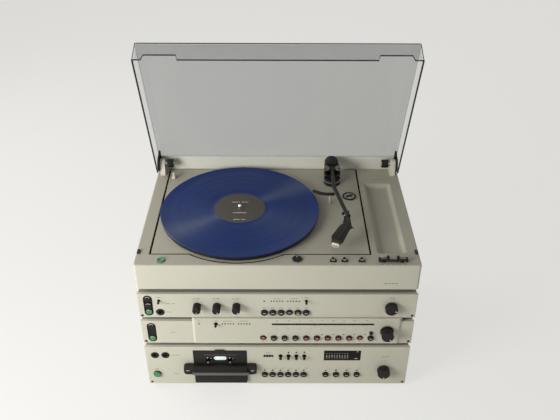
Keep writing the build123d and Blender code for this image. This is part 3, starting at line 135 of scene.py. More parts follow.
class MusicCentreColours(PropertyGroup):
    """The colours of every finish."""

    front: colour("Front paint", "Paint of the fascias and the plinth's sides", 205, 202, 184)
    # Painted light: a lighter tint than the front paint for the raised strip behind the deck, standing for
    # the stronger light on it.
    rail: colour("Rail paint", "Paint of the rail behind the deck", 228, 227, 212)
    # Painted shade: a darker copy of the front paint for faces that look up, standing for the lesser light on
    # them. It also colours key marks and painted highlight arcs.
    deck: colour("Deck paint", "Paint of the deck, its floating panel and key marks", 182, 177, 160)
    # Painted shade: the cases' textured paint is darker than the front paint, standing for the shade in the
    # gaps between the units.
    case: colour("Case paint", "Textured paint of the three sheet cases", 146, 143, 130)
    board: colour("Floor board", "Composition board under the plinth", 70, 58, 46)
    black: colour("Black plastic", "Keys, knobs and small black parts", 30, 28, 25)
    charcoal: colour("Charcoal plastic", "Cassette door, pitch knob and counterweight", 48, 47, 45)
    rubber: colour("Rubber", "Mat, feet and pads", 24, 24, 24)
    vinyl: colour("Vinyl", "Record", 24, 50, 110)
    # Painted highlight: the pale tint of the rays painted across the record.
    shine: colour("Vinyl shine", "Soft rays across the record", 84, 96, 128)
    label: colour("Record label", "Paper label of the record", 76, 72, 65)
    steel: colour("Bright metal", "Chromed and plated parts", 215, 214, 210)
    arm: colour("Arm metal", "Dark enamel of the tonearm and headshell", 44, 43, 38)
    cartridge: colour("Cartridge", "Dark red band of the cartridge", 74, 26, 22)
    cream: colour("Cream plastic", "Hinge brackets, lock lever and cartridge front", 226, 221, 205)
    green: colour("Green key", "Translucent green power keys", 40, 128, 70)
    # Painted shade: a darker green on the shoulders of the green power keys, where a dome looks darker than
    # its lit middle.
    deep_green: colour("Green key rim", "Shoulder of the green power keys", 18, 62, 36)
    red: colour("Red window", "Windows of the station keys, and the rear sockets' red inserts", 204, 62, 46)
    rim: colour("Red rim", "Dark red shoulder of the station keys, and the dial pointer", 62, 26, 22)
    yellow: colour("Yellow window", "Yellow window of one source key", 222, 186, 62)
    lime: colour("Green lamp", "Green lamps that are off", 34, 66, 50)
    brown_lamp: colour("Red lamp", "Red lamps that are off", 80, 36, 30)
    dark_lamp: colour("Dark lamp", "Dark lamps that are off", 40, 38, 34)
    # Grey of the yoke's plates and dull metal, and of the painted highlights on the cassette door and the
    # painted sheen on the lift lever.
    tape_grey: colour("Grey trim", "Trim of the cassette door and yoke, and dull metal", 96, 94, 88)
    ink: colour("Print", "Dark printed marks", 112, 109, 98)
    # White print on black parts, and also painted glints on the cassette door's hub windows and lugs.
    pale: colour("Pale print", "White marks on black parts", 225, 224, 214)
    # Painted light: the door's window is a pale pane that gives off light, standing for the bright view
    # through the cassette.
    window: colour("Door window", "Pale window of the cassette door", 226, 235, 238)
    smoke: colour("Smoked acrylic", "Tint of the dust cover", 112, 117, 116)


class MusicCentreSizes(PropertyGroup):
    """The sizes that a user would change."""

    label_radius: length("Label radius", "Radius of the record's label", 48.5)
    groove_pitch: length("Groove pitch", "Spacing of the visible record groove bands", 1.1)
    print_height: length("Print thickness", "How far printed marks stand proud", 0.08)
    knob_ribs: IntProperty(name="Knob ribs", description="Grip ribs round a control knob", default=32, min=8)
    key_dome: length("Key dome", "Depth of the rounding round a push key's face", 1.8)


class MusicCentreStage(PropertyGroup):
    """The floor, lamps and camera."""

    floor: colour("Floor", "Plain floor under the object", 244, 243, 239)
    key_power: amount("Key lamp (W)", "Power of the lamp to the left", 13.5)
    fill_power: amount("Fill lamp (W)", "Power of the right fill lamp", 1.5)
    rear_power: amount("Rear lamp (W)", "Power of the lamp behind, to the left", 9.0)
    sky: amount("Sky", "Strength of the even surrounding light", 0.19)
    lens: FloatProperty(name="Lens", description="Focal length", default=44.0, unit="CAMERA")


class MusicCentre(PropertyGroup):
    """Everything a user would change."""

    colours: PointerProperty(type=MusicCentreColours, name="Colours",
                             description="The colours of every finish")
    sizes: PointerProperty(type=MusicCentreSizes, name="Sizes", description="The sizes of small detail")
    stage: PointerProperty(type=MusicCentreStage, name="Stage", description="The floor, lamps and camera")


# ---------------------------------------------------------------- finishes
def fill(tree, node, inputs):
    """Set a node's inputs: a socket is linked to its input, anything else is the input's value."""
    for key, value in inputs.items():
        if isinstance(value, bpy.types.NodeSocket):
            tree.links.new(value, node.inputs[key])
        else:
            node.inputs[key].default_value = value


def wire(tree, kind, out, inputs, **settings):
    """Add a shader node with its settings and inputs, and give one of its outputs."""
    node = tree.nodes.new("ShaderNode" + kind)
    for name, value in settings.items():
        setattr(node, name, value)
    fill(tree, node, inputs)
    return node.outputs[out]


def maths(tree, operation, *values):
    """A step of arithmetic on numbers."""
    return wire(tree, "Math", "Value", dict(enumerate(values)), operation=operation)


def vector_maths(tree, operation, *values, out="Vector"):
    """A step of arithmetic on vectors, which gives a vector, or a number where out is Value."""
    return wire(tree, "VectorMath", out, dict(enumerate(values)), operation=operation)


def place_on_piece(tree):
    """A point's place in the frame, in metres. It stays with the piece when the piece moves."""
    return wire(tree, "TexCoord", "Object", {})


def blend_to(tree, share, tint, shade):
    """A tint that turns into one of the scene's colours as a share grows from 0 to 1."""
    own = getattr(bpy.context.scene.music_centre.colours, shade)
    return wire(tree, "Mix", 2, {0: share, 6: tint, 7: (*own, 1)}, data_type="RGBA")


class Finish:
    """A procedural material: its colour, gloss and surface grain, made once and then shared."""

    def __init__(self, name, shade, rough, metal=0.0, **look):
        self.name, self.shade, self.rough, self.metal, self.look = name, shade, rough, metal, look

    def material(self):
        """The Blender material. Its prefix keeps its name apart from the frame's own materials."""
        own_name = "look_" + self.name
        made = bpy.data.materials.get(own_name)
        if not made:
            made = bpy.data.materials.new(own_name)
            made.use_nodes = True
            self.paint(made)
        return made

    def paint(self, made):
        """Give a material its mottled colour, uneven gloss and fine bumps."""
        tree, look = made.node_tree, self.look
        base = getattr(bpy.context.scene.music_centre.colours, self.shade)
        made.diffuse_color = (*base, 1)
        place = place_on_piece(tree)

        def noise(scale, detail):
            source = place
            if "stretch" in look:
                source = wire(tree, "Mapping", "Vector", {"Vector": place, "Scale": look["stretch"]})
            return wire(tree, "TexNoise", "Fac", {"Vector": source, "Scale": scale, "Detail": detail})

        mottle = look.get("mottle", 0.06)
        ramp = tree.nodes.new("ShaderNodeValToRGB")
        darker, lighter = ramp.color_ramp.elements
        darker.position, lighter.position = 0.3, 0.7
        darker.color = (*[c * (1 - mottle) for c in base], 1)
        lighter.color = (*[min(1, c * (1 + mottle)) for c in base], 1)
        fill(tree, ramp, {"Fac": noise(look.get("patch", 9), 3)})
        tint = ramp.outputs["Color"]
        # shade_by paints light and shade into the colour of the finishes that ask for it.
        if "shade_by" in look:
            tint = look["shade_by"](tree, tint)
        gloss = wire(tree, "MapRange", "Result", {
            "Value": noise(look.get("smear", 40), 4),
            "To Min": self.rough * 0.88,
            "To Max": min(1, self.rough * 1.12),
        })
        bump = wire(tree, "Bump", "Normal", {
            "Height": look["bumps"](tree) if "bumps" in look else noise(look.get("grain", 1800), 2),
            "Strength": look.get("bump", 0.1),
            "Distance": look.get("depth", 0.05) * MM,
        })
        shader = tree.nodes["Principled BSDF"]
        fill(tree, shader, {
            "Base Color": tint,
            "Roughness": gloss,
            "Normal": bump,
            "Metallic": self.metal,
            "Coat Weight": look.get("coat", 0.0),
            "Coat Roughness": 0.12,
            "Specular IOR Level": look.get("specular", 0.5),
            "Alpha": look.get("alpha", 1.0),
        })
        if "clear_by" in look:
            fill(tree, shader, {"Alpha": look["clear_by"](tree)})
        # A finish with painted light gives off a faint emission of its own colour, though the part is no
        # lamp.
        if "glow" in look:
            fill(tree, shader, {"Emission Color": (*base, 1), "Emission Strength": look["glow"]})
        if "anisotropy" in look:
            around = wire(tree, "Tangent", "Tangent", {}, direction_type="RADIAL", axis="Z")
            fill(tree, shader, {"Anisotropic": look["anisotropy"], "Tangent": around})


def rings_about_spindle(tree):
    """A height that rises and falls with the distance from the spindle: record grooves and mat ribs."""
    turns = math.tau / (bpy.context.scene.music_centre.sizes.groove_pitch * MM)
    offset = vector_maths(tree, "SUBTRACT", place_on_piece(tree), SPINDLE * MM)
    level = vector_maths(tree, "MULTIPLY", offset, (1, 1, 0))
    radius = vector_maths(tree, "LENGTH", level, out="Value")
    return maths(tree, "SINE", maths(tree, "MULTIPLY", radius, turns))


def rays_about_spindle(tree, tint):
    """Painted highlight: soft pale rays that fan out across the record, where light would catch its grooves.
    """
    place = wire(tree, "SeparateXYZ", "X", {"Vector": place_on_piece(tree)}).node.outputs
    across = maths(tree, "SUBTRACT", place["X"], SPINDLE.x * MM)
    ahead = maths(tree, "SUBTRACT", place["Y"], SPINDLE.y * MM)
    angle = maths(tree, "ARCTAN2", ahead, across)
    total = None
    for lobes, turn, sharp, strength in ((2, 34, 14, 0.65), (1, 205, 5, 0.35), (1, -28, 9, 0.3)):
        turned = maths(tree, "SUBTRACT", angle, math.radians(turn))
        wave = maths(tree, "COSINE", maths(tree, "MULTIPLY", turned, lobes))
        ray = maths(tree, "POWER", maths(tree, "MAXIMUM", wave, 0), sharp)
        ray = maths(tree, "MULTIPLY", ray, strength)
        total = maths(tree, "ADD", total, ray) if total else ray
    return blend_to(tree, total, tint, "shine")


def paint_tops(tree, tint):
    """Painted shade by facing: the deck's darker copy of the front paint on faces that look up, the finish's
    own colour elsewhere.
    """
    normal = wire(tree, "NewGeometry", "True Normal", {})
    upwards = wire(tree, "SeparateXYZ", "Z", {"Vector": normal})
    share = wire(tree, "MapRange", "Result", {"Value": upwards, "From Min": 0.3, "From Max": 0.9})
    return blend_to(tree, share, tint, "deck")


def paint_tops_and_rail(tree, tint):
    """Painted shade on faces that look up, and a painted lighter tint on all that stands above the deck, as
    if lit more.
    """
    height = wire(tree, "SeparateXYZ", "Z", {"Vector": place_on_piece(tree)})
    above = maths(tree, "GREATER_THAN", height, (DECK + 0.6) * MM)
    return blend_to(tree, above, paint_tops(tree, tint), "rail")


def clearer_walls(tree):
    """How solid the dust cover looks: more in its broad sheet, less in its walls."""
    from_hinge = vector_maths(tree, "SUBTRACT", place_on_piece(tree), HINGE * MM)
    height = vector_maths(tree, "DOT_PRODUCT", from_hinge, COVER.to_3x3().col[2], out="Value")
    return wire(tree, "MapRange", "Result", {
        "Value": height,
        "From Min": WALL_END * MM,
        "From Max": SHEET_START * MM,
        "To Min": WALL_OPACITY,
        "To Max": SHEET_OPACITY,
    })


PAINT = dict(mottle=0.015, patch=6, grain=2600, bump=0.12, depth=0.04)
FRONT_PAINT = Finish("front_paint", "front", 0.48, **PAINT)
# The plinth: front paint on its sides, painted shade on its tops, and painted light on the raised strip
# behind the deck.
PLINTH_PAINT_LIGHT_AND_SHADE = Finish("plinth_paint", "front", 0.48, shade_by=paint_tops_and_rail, **PAINT)
# Painted shade: the deck's darker copy of the front paint, on the tray and other parts that sit on the deck.
DECK_SHADE_PAINT = Finish("deck_paint", "deck", 0.5, **PAINT)
# Painted shade: the floating panel is black on its sides, standing for the dark groove round it, and has the
# deck's shade on top.
PANEL_PAINTED_SHADE = Finish("panel_paint", "black", 0.5, shade_by=paint_tops, **PAINT)
# Textured paint of the cases, darkened as painted shade for the gaps between the units.
CASE_PAINT_AND_SHADE = Finish("case_paint", "case", 0.62, mottle=0.08, grain=900, bump=0.35, depth=0.15)
BOARD = Finish("floor_board", "board", 0.85, mottle=0.25, patch=260, grain=700, bump=0.4, depth=0.2)
BLACK = Finish("black_plastic", "black", 0.42, mottle=0.12, grain=2400, bump=0.08, specular=0.2)
BLACK_GLOSS = Finish("black_gloss_plastic", "black", 0.25, mottle=0.1, coat=0.15, grain=1600,
                     bump=0.03, specular=0.15)
CHARCOAL = Finish("charcoal_plastic", "charcoal", 0.46, mottle=0.08, grain=2200, bump=0.14, specular=0.08)
RUBBER = Finish("rubber", "rubber", 0.78, mottle=0.15, grain=1500, bump=0.3, depth=0.1)
RIBBED_RUBBER = Finish("ribbed_rubber", "rubber", 0.75, bumps=rings_about_spindle, bump=0.6, depth=0.4)
# The vinyl's colour carries painted highlight rays.
VINYL = Finish("vinyl", "vinyl", 0.34, mottle=0.05, patch=14, bumps=rings_about_spindle, bump=0.1, depth=0.03,
               anisotropy=0.85, specular=0.2, shade_by=rays_about_spindle)
LABEL = Finish("label_paper", "label", 0.62, mottle=0.06, grain=1400, bump=0.1)
CHROME = Finish("chrome", "steel", 0.12, 1.0, mottle=0.02, grain=700, bump=0.02)
STEEL = Finish("plated_steel", "steel", 0.34, 1.0, mottle=0.05, grain=1600, bump=0.06, stretch=(1, 1, 12))
ARM_METAL = Finish("arm_enamel", "arm", 0.36, 0.2, mottle=0.08, grain=1500, bump=0.05, specular=0.18)
CARTRIDGE_RED = Finish("cartridge_red", "cartridge", 0.3, mottle=0.06, coat=0.3)
CREAM = Finish("cream_plastic", "cream", 0.45, mottle=0.03, grain=2000, bump=0.06)
RED_KEY = Finish("red_key", "red", 0.3, mottle=0.06, coat=0.4)
RED_POINTER = Finish("red_pointer", "rim", 0.4, mottle=0.05)
# The red and yellow key windows give off painted light, though no lamp is in them.
RED_WINDOW = Finish("red_window", "red", 0.25, mottle=0.1, patch=300, coat=0.5, glow=0.2)
RED_RIM = Finish("red_rim", "rim", 0.34, mottle=0.1, patch=300, specular=0.2)
YELLOW_WINDOW = Finish("yellow_window", "yellow", 0.25, mottle=0.1, patch=300, coat=0.5, glow=0.1)
# Grey plates on the yoke, and painted highlights on the cassette door.
GREY_TRIM_AND_HIGHLIGHT = Finish("grey_trim", "tape_grey", 0.35, mottle=0.05, grain=2200, bump=0.08)
# Painted sheen: a grey reflection painted on the lift lever's cheeks.
PAINTED_SHEEN = Finish("dark_sheen", "tape_grey", 0.22, mottle=0.1, coat=0.4, grain=1600, bump=0.03)
DARK_GLASS = Finish("dark_glass", "black", 0.12, mottle=0.1, bump=0.01, specular=0.1)
# The green keys give off painted light, though they are no lamps.
GREEN = Finish("green_key", "green", 0.2, mottle=0.14, patch=160, coat=0.6, glow=0.05)
DULL_METAL = Finish("dull_metal", "tape_grey", 0.3, 0.85, mottle=0.08, grain=1500, bump=0.05)
# Painted shade: the darker green of the green keys' shoulders.
GREEN_RIM_SHADE = Finish("green_key_rim", "deep_green", 0.25, mottle=0.14, patch=160, coat=0.4)
RED_LAMP = Finish("red_lamp", "brown_lamp", 0.25, mottle=0.1, patch=300, coat=0.5)
GREEN_LAMP = Finish("green_lamp", "lime", 0.25, mottle=0.1, patch=300, coat=0.5)
DARK_LAMP = Finish("dark_lamp", "dark_lamp", 0.25, mottle=0.1, patch=300, coat=0.5)
INK = Finish("ink", "ink", 0.6, mottle=0.1, patch=400)
# Pale print, and painted glints on the cassette door.
PALE_INK_AND_GLINT = Finish("pale_ink", "pale", 0.55, mottle=0.03, patch=400)
# Marks on keys and the display, and painted highlight arcs on the pill keys.
MARK_AND_GLINT = Finish("key_mark", "deck", 0.5, mottle=0.08, patch=400)
# Painted light: the cassette window gives off light as the bright view through it.
GLOWING_WINDOW = Finish("glowing_window", "window", 0.4, mottle=0.05, patch=200, glow=0.3)
ACRYLIC = Finish("smoked_acrylic", "smoke", 0.06, mottle=0.02, clear_by=clearer_walls, smear=12,
                 bump=0.004, grain=30)
# Painted shade: dark tubes where the acrylic's edges look dark by refraction.
ACRYLIC_EDGE_SHADE = Finish("acrylic_edge", "black", 0.2, mottle=0.05, alpha=0.9, specular=0.3)


# ---------------------------------------------------------------- making shapes
def upright(x=0.0, y=0.0, z=0.0, turn=0.0):
    """A drawing frame that faces up: its heights run along +Z."""
    return Matrix.Translation((x, y, z)) @ Matrix.Rotation(turn, 4, "Z")


def facing(x, y, z, turn=0.0):
    """A drawing frame that faces the front: its heights run towards the viewer, its y is up."""
    at = Matrix.Translation((x, y, z)) @ Matrix.Rotation(math.pi / 2, 4, "X")
    return at @ Matrix.Rotation(turn, 4, "Z")


def sideways(x, y, z, side=1):
    """A drawing frame whose heights run along +X, or along -X where side is -1."""
    return Matrix.Translation((x, y, z)) @ Matrix.Rotation(side * math.pi / 2, 4, "Y")


def backward(x, y, z):
    """A drawing frame that faces the rear: its heights run along +Y."""
    return Matrix.Translation((x, y, z)) @ Matrix.Rotation(-math.pi / 2, 4, "X")


def circle(radius, height=0.0, steps=48, ribs=0, rib_depth=0.0):
    """Points of a circle, optionally rippled with grip ribs."""
    points = []
    for n in range(steps):
        angle = math.tau * n / steps
        r = radius - rib_depth * (0.5 - 0.5 * math.cos(ribs * angle)) if ribs else radius
        points.append((r * math.cos(angle), r * math.sin(angle), height))
    return points


def rounded(width, depth, radius, height=0.0, steps=6, x=0.0, y=0.0):
    """Points of a rectangle with round corners."""
    radius = max(0.01, min(radius, width / 2 - 0.001, depth / 2 - 0.001))
    points = []
    for corner, (sx, sy) in enumerate(((1, 1), (-1, 1), (-1, -1), (1, -1))):
        for n in range(steps + 1):
            angle = math.pi / 2 * (corner + n / steps)
            points.append((
                x + sx * (width / 2 - radius) + radius * math.cos(angle),
                y + sy * (depth / 2 - radius) + radius * math.sin(angle),
                height,
            ))
    return points


def inset(outline, amount, height):
    """The outline moved inwards by an amount, at a height."""
    count = len(outline)
    neighbours = zip(outline, outline[1:] + outline[:1])
    turning = sum(here[0] * after[1] - after[0] * here[1] for here, after in neighbours)
    side = 1 if turning > 0 else -1
    moved = []
    for i, point in enumerate(outline):
        before, after = Vector(outline[i - 1][:2]), Vector(outline[(i + 1) % count][:2])
        here = Vector(point[:2])
        into, out = (here - before).normalized(), (after - here).normalized()
        normal = Vector((-(into.y + out.y), into.x + out.x))
        normal = normal.normalized() if normal.length > 1e-6 else Vector((-into.y, into.x))
        spread = max(0.35, normal.dot(Vector((-into.y, into.x))))
        shifted = here + normal * (side * amount / spread)
        moved.append((shifted.x, shifted.y, height))
    return moved


def soft_edge(low, high, rounding, steps=3, below=0.0):
    """(inset, height) pairs that go up a wall and round its top edge, and its bottom edge if asked."""
    angles = [math.pi / 2 * n / steps for n in range(steps + 1)]
    pairs = [(0, low + below)]
    if below:
        pairs[:0] = [(below * (1 - math.sin(a)), low + below * (1 - math.cos(a))) for a in angles[:-1]]
    return pairs + [(rounding * (1 - math.cos(a)), high - rounding + rounding * math.sin(a)) for a in angles]


CREASE = 34  # degrees: edges that turn more than this stay sharp


class Shape:
    """Skins of a piece, drawn in millimetres, each with its own finish."""

    def __init__(self):
        self.mesh, self.finishes = bmesh.new(), []

    def number(self, finish):
        """The slot number of a finish on this piece."""
        if finish not in self.finishes:
            self.finishes.append(finish)
        return self.finishes.index(finish)

    def skin(self, rings, finish, at=None, loop=False, ends=True):
        """Join equal rings of points, each to the next, and close both ends, only the last one or none.
        A list of finishes gives one to each band."""
        at = at or Matrix.Identity(4)
        rows = [[self.mesh.verts.new((at @ Vector(p)) * MM) for p in ring] for ring in rings]
        count = len(rows[0])
        bands = list(zip(rows, rows[1:]))
        if loop:
            bands.append((rows[-1], rows[0]))
        for band, (low, high) in enumerate(bands):
            chosen = finish[min(band, len(finish) - 1)] if isinstance(finish, list) else finish
            index = self.number(chosen)
            for i in range(count):
                j = (i + 1) % count
                self.mesh.faces.new((low[i], low[j], high[j], high[i])).material_index = index
        if ends and not loop:
            for row, chosen in ((rows[0], 0), (rows[-1], -1))[1 if ends == "last" else 0:]:
                kind = finish[chosen] if isinstance(finish, list) else finish
                self.mesh.faces.new(row).material_index = self.number(kind)
        return self

    def turned(self, profile, finish, at, steps=48, ribs=0, rib_depth=0.0, ribbed=None):
        """Turn a profile of (radius, height) pairs about the drawing frame's axis."""
        rings = []
        for n, (radius, height) in enumerate(profile):
            use = ribs if ribs and (ribbed is None or ribbed[0] <= n <= ribbed[1]) else 0
            rings.append(circle(max(radius, 0.001), height, steps, use, rib_depth))
        return self.skin(rings, finish, at)

    def washer(self, profile, finish, at, steps=48):
        """Turn a closed profile of (radius, height) pairs: a ring with a hole through it."""
        return self.skin([circle(r, h, steps) for r, h in profile], finish, at, loop=True)

    def block(self, outline, low, high, rounding, finish, at=None, below=0.0, steps=3):
        """A plate with an outline, whose top edge is rounded."""
        return self.skin([inset(outline, i, h) for i, h in soft_edge(low, high, rounding, steps, below)],
                         finish, at)

    def tube(self, path, radius, finish, steps=20, radii=None):
        """A round bar along a path of points."""
        points = [Vector(p) for p in path]
        turns = [math.tau * n / steps for n in range(steps)]
        rings, up = [], Vector((0, 0, 1))
        for i, point in enumerate(points):
            along = (points[min(i + 1, len(points) - 1)] - points[max(i - 1, 0)]).normalized()
            side = along.cross(up if abs(along.z) < 0.95 else Vector((1, 0, 0))).normalized()
            over = side.cross(along)
            r = radii[i] if radii else radius
            rings.append([tuple(point + r * (math.cos(a) * side + math.sin(a) * over)) for a in turns])
        return self.skin(rings, finish)

    def done(self, name, body, slot, replaces=()):
        """Make the object, smooth between its creases, riding on a body."""
        bmesh.ops.remove_doubles(self.mesh, verts=self.mesh.verts[:], dist=2e-8)
        bmesh.ops.recalc_face_normals(self.mesh, faces=self.mesh.faces[:])
        data = bpy.data.meshes.new(name)
        self.mesh.to_mesh(data)
        self.mesh.free()
        for finish in self.finishes:
            data.materials.append(finish.material())
        data.shade_smooth()
        data.set_sharp_from_angle(angle=math.radians(CREASE))
        piece = settle(name, data, body)
        if replaces:
            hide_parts(*replaces)


def settle(name, data, body):
    """Put a mesh in the scene as a piece that rides on a body."""
    piece = bpy.data.objects.new(name, data)
    bpy.context.scene.collection.objects.link(piece)
    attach(piece, body)
    return piece


def dress(node, finish, rounding=0.0):
    """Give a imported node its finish, and soften its edges."""
    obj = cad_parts[node]
    obj.data.materials.clear()
    obj.data.materials.append(finish.material())
    if rounding:
        weld = obj.modifiers.new("Weld", "WELD")
        weld.merge_threshold = 2e-6
        bevel = obj.modifiers.new("Soft edges", "BEVEL")
        bevel.width = rounding * MM
        bevel.segments = 2
        bevel.limit_method = "ANGLE"
        bevel.angle_limit = math.radians(50)
        bevel.harden_normals = True


def bent_path(points, radii, steps=8):
    """A path through points whose inner corners are rounded into curves."""
    points = [Vector(p) for p in points]
    path = [points[0]]
    for i in range(1, len(points) - 1):
        into, out = (points[i] - points[i - 1]).normalized(), (points[i + 1] - points[i]).normalized()
        half = into.angle(out) / 2
        reach = radii[i - 1] * math.tan(half)
        start, end = points[i] - into * reach, points[i] + out * reach
        for n in range(steps + 1):
            t = n / steps
            path.append((1 - t) ** 2 * start + 2 * t * (1 - t) * points[i] + t * t * end)
    return path + [points[-1]]


def figures(name, text, size, finish, at, body):
    """Plain figures as thin raised print, centred on the drawing frame."""
    curve = bpy.data.curves.new(name, "FONT")
    curve.body, curve.size, curve.align_x, curve.align_y = text, size * MM, "CENTER", "CENTER"
    curve.extrude = 0.04 * MM
    curve.resolution_u = 3
    holder = bpy.data.objects.new(name, curve)
    bpy.context.scene.collection.objects.link(holder)
    data = bpy.data.meshes.new_from_object(holder.evaluated_get(bpy.context.evaluated_depsgraph_get()))
    bpy.data.objects.remove(holder)
    place = at.copy()
    place.translation *= MM
    data.transform(place)
    data.name = name
    data.materials.clear()
    data.materials.append(finish.material())
    settle(name, data, body)


def bars(name, places, finish, body, slot, tall):
    """Short plain bars as thin raised print. Each place is a drawing frame and the bar's length."""
    shape, proud = Shape(), bpy.context.scene.music_centre.sizes.print_height
    for at, long in places:
        shape.block(rounded(long, tall, 0.2, steps=1), -0.02, proud, 0.02, finish, at, steps=1)
    shape.done(name, body, slot)


def front_bars(name, marks, face, tall=0.9):
    """Bars printed on an upright face. Each mark is its middle (x, z), its length and its tilt."""
    bars(name, [(facing(x, face, z, tilt), long) for x, z, long, tilt in marks], INK, "stack",
         "fascia_paint", tall)


def deck_bars(name, marks, deep, height=DECK, finish=INK, body="stack", slot="deck_paint"):
    """Bars printed on a level face. Each mark is its middle (x, y), its length and its tilt."""
    bars(name, [(upright(x, y, height, tilt), long) for x, y, long, tilt in marks], finish, body, slot, deep)


def dial_ticks(x, z, radius, tick, count=11):
    """Marks over three quarters of a turn round a knob, each pointing at its middle."""
    angles = [math.pi - math.radians(-225 + 270 * n / (count - 1)) for n in range(count)]
    return [(x - radius * math.cos(a), z + radius * math.sin(a), tick, -a) for a in angles]


def key_profile(radius, proud, tail, dome):
    """A push key: a straight wall, a rounded shoulder and a gently domed face."""
    return [(radius * 0.8, -tail), (radius, -tail + 0.6), (radius, proud - dome),
            (radius - dome * 0.12, proud - dome * 0.62), (radius - dome * 0.4, proud - dome * 0.34),
            (radius - dome * 0.9, proud - dome * 0.18), (radius - dome * 1.5, proud - dome * 0.08),
            (radius * 0.3, proud), (0, proud)]


LATCHED_DEPTH = 2  # how much lower a key stands while it is latched in


def push_keys(name, places, radius, proud, face, finish, replaces, slot="black_plastic", lit=None,
              pressed=(), mark=None, rim=None, painted_glint=False):
    """Round domed keys. A lit key has a coloured window in the lower half of its face, under its mark, whose
    finish may give off painted light. Keys may also get a painted highlight arc near the top of the face.
    """
    dome = bpy.context.scene.music_centre.sizes.key_dome
    body, lit = replaces[0], lit or {}
    keys, windows, marks = Shape(), Shape(), Shape()
    for n, (x, z) in enumerate(places):
        at, reach = facing(x, face, z), proud - (LATCHED_DEPTH if n in pressed else 0)
        shoulder = RED_RIM if lit.get(n) == RED_WINDOW else rim or finish
        keys.turned(key_profile(radius, reach, 9.5, dome), [shoulder] * 4 + [finish] * 4, at, 32)
        if n in lit:
            chord = [(radius * 0.56 * math.cos(a), radius * (0.5 * math.sin(a) - 0.1), 0)
                     for a in (math.radians(d) for d in range(186, 355, 12))]
            windows.block(chord, reach - 0.75, reach + 0.05, 0.15, lit[n], at, steps=2)
        # Painted highlight: a pale arc near the top of the key's face.
        if painted_glint:
            crescent = [(radius * 0.86, turn) for turn in range(35, 146, 10)]
            crescent += [(radius * 0.66, turn) for turn in range(145, 34, -10)]
            arc = [(r * math.cos(math.radians(turn)), r * math.sin(math.radians(turn)))
                   for r, turn in crescent]
            keys.skin([[(x, y, reach - dome * high) for x, y in arc] for high in (0.9, 0.14)], MARK_AND_GLINT, at)
        if mark:
            bar = rounded(radius * 0.95, radius * 0.26, 0.5, y=radius * (0.32 if n in lit else 0.1), steps=2)
            marks.block(bar, reach - 0.3, reach + 0.04, 0.02, mark, at, steps=1)
    keys.done(name, body, slot, replaces)
    if lit:
        windows.done(name + "_windows", body, "red_lens")
    if mark:
        marks.done(name + "_marks", body, "white_plastic")


def control_knob(name, x, z, radius, reach, face, pointer, body, replaces, flange=None):
    """A ribbed knob with a turned-in face and a pale pointer near its rim."""
    sizes = bpy.context.scene.music_centre.sizes
    at = facing(x, face, z)
    shape = Shape()
    low = 0.5
    if flange:
        shape.turned([(3, 0.4), (flange - 0.5, 0.5), (flange, 0.9), (flange, 2.4), (flange - 0.6, 3),
                      (3, 3)], BLACK, at, 56)
        low = 2.9
    profile = [(3, low), (radius - 0.3, low), (radius, low + 0.5), (radius, reach - 1.1),
               (radius - 0.5, reach - 0.35), (radius - 1.0, reach), (radius - 1.9, reach),
               (radius - 2.2, reach - 0.5), (0, reach - 0.45)]
    shape.turned(profile, BLACK, at, sizes.knob_ribs * 4, sizes.knob_ribs, 0.42, (1, 3))
    shape.turned([(2.95, -15), (2.95, low + 0.5)], STEEL, at, 20)
    shape.done(name, body, "black_plastic", replaces)
    place = at @ Matrix.Rotation(pointer, 4, "Z") @ Matrix.Translation((radius - 2.6, 0, 0))
    mark = Shape()
    mark.block(rounded(radius * 0.36, 1.7, 0.5, steps=2), reach - 0.6, reach - 0.02, 0.15, PALE_INK_AND_GLINT,
               place, steps=1)
    mark.done(name + "_pointer", body, "white_plastic")


TOGGLE_HOLE = 3.6  # radius of the hole in a fascia for a toggle


def bat_toggles(name, places, face, body, replaces, bushing, tip):
    """Small bat levers, each in a round bushing that fills its hole."""
    bats, bushings = Shape(), Shape()
    for x, z in places:
        at = facing(x, face, z)
        bats.turned([(1.2, -5), (1.25, 1.5), (1.5, 3), (tip - 0.2, 5), (tip, 6.2), (tip, 7.6),
                     (tip - 0.5, 8.6), (0, 9.0)], BLACK, at, 20)
        bats.turned([(0.01, -3.1), (1.35, -3.1), (1.35, 3.1), (0.01, 3.1)], STEEL,
                    sideways(x, face + 4, z), 16)
        bushings.washer([(bushing - 0.9, -5.5), (bushing - 0.9, 0.3), (bushing - 0.4, 0.5), (bushing, 0.3),
                         (bushing, 0.0), (bushing - 0.1, -0.2), (bushing - 0.1, -5.5)], BLACK, at, 24)
        if bushing < TOGGLE_HOLE:
            inner = bushing - 0.2
            bushings.washer([(inner, -1.2), (inner, -0.03), (TOGGLE_HOLE, -0.03), (TOGGLE_HOLE, -1.2)],
                            FRONT_PAINT, at, 24)
    bats.done(name, body, "chrome_trim", replaces)
    bushings.done(name + "_bushings", "stack", "black_plastic")


# ---------------------------------------------------------------- stage
FLOOR_REACH = 9.0  # metres to each side
FLOOR_OWN_LIGHT = 0.72  # how much of the floor's look is its plain colour, the rest is lit and shaded
SENSOR_WIDTH = 36
CAMERA_PLACE = Vector((-0.4, -1079.4, 1050.1))
CAMERA_DOWN, CAMERA_ASIDE, CAMERA_TILT = math.radians(34.56), math.radians(0.26), math.radians(0.26)


def seen_by_eye(tree):
    """One for rays that the eye, mirrors and clear parts send out, nought for the rest."""
    rays = tree.nodes.new("ShaderNodeLightPath").outputs
    eye_or_mirror = maths(tree, "MAXIMUM", rays["Is Camera Ray"], rays["Is Glossy Ray"])
    return maths(tree, "MAXIMUM", eye_or_mirror, rays["Is Transmission Ray"])


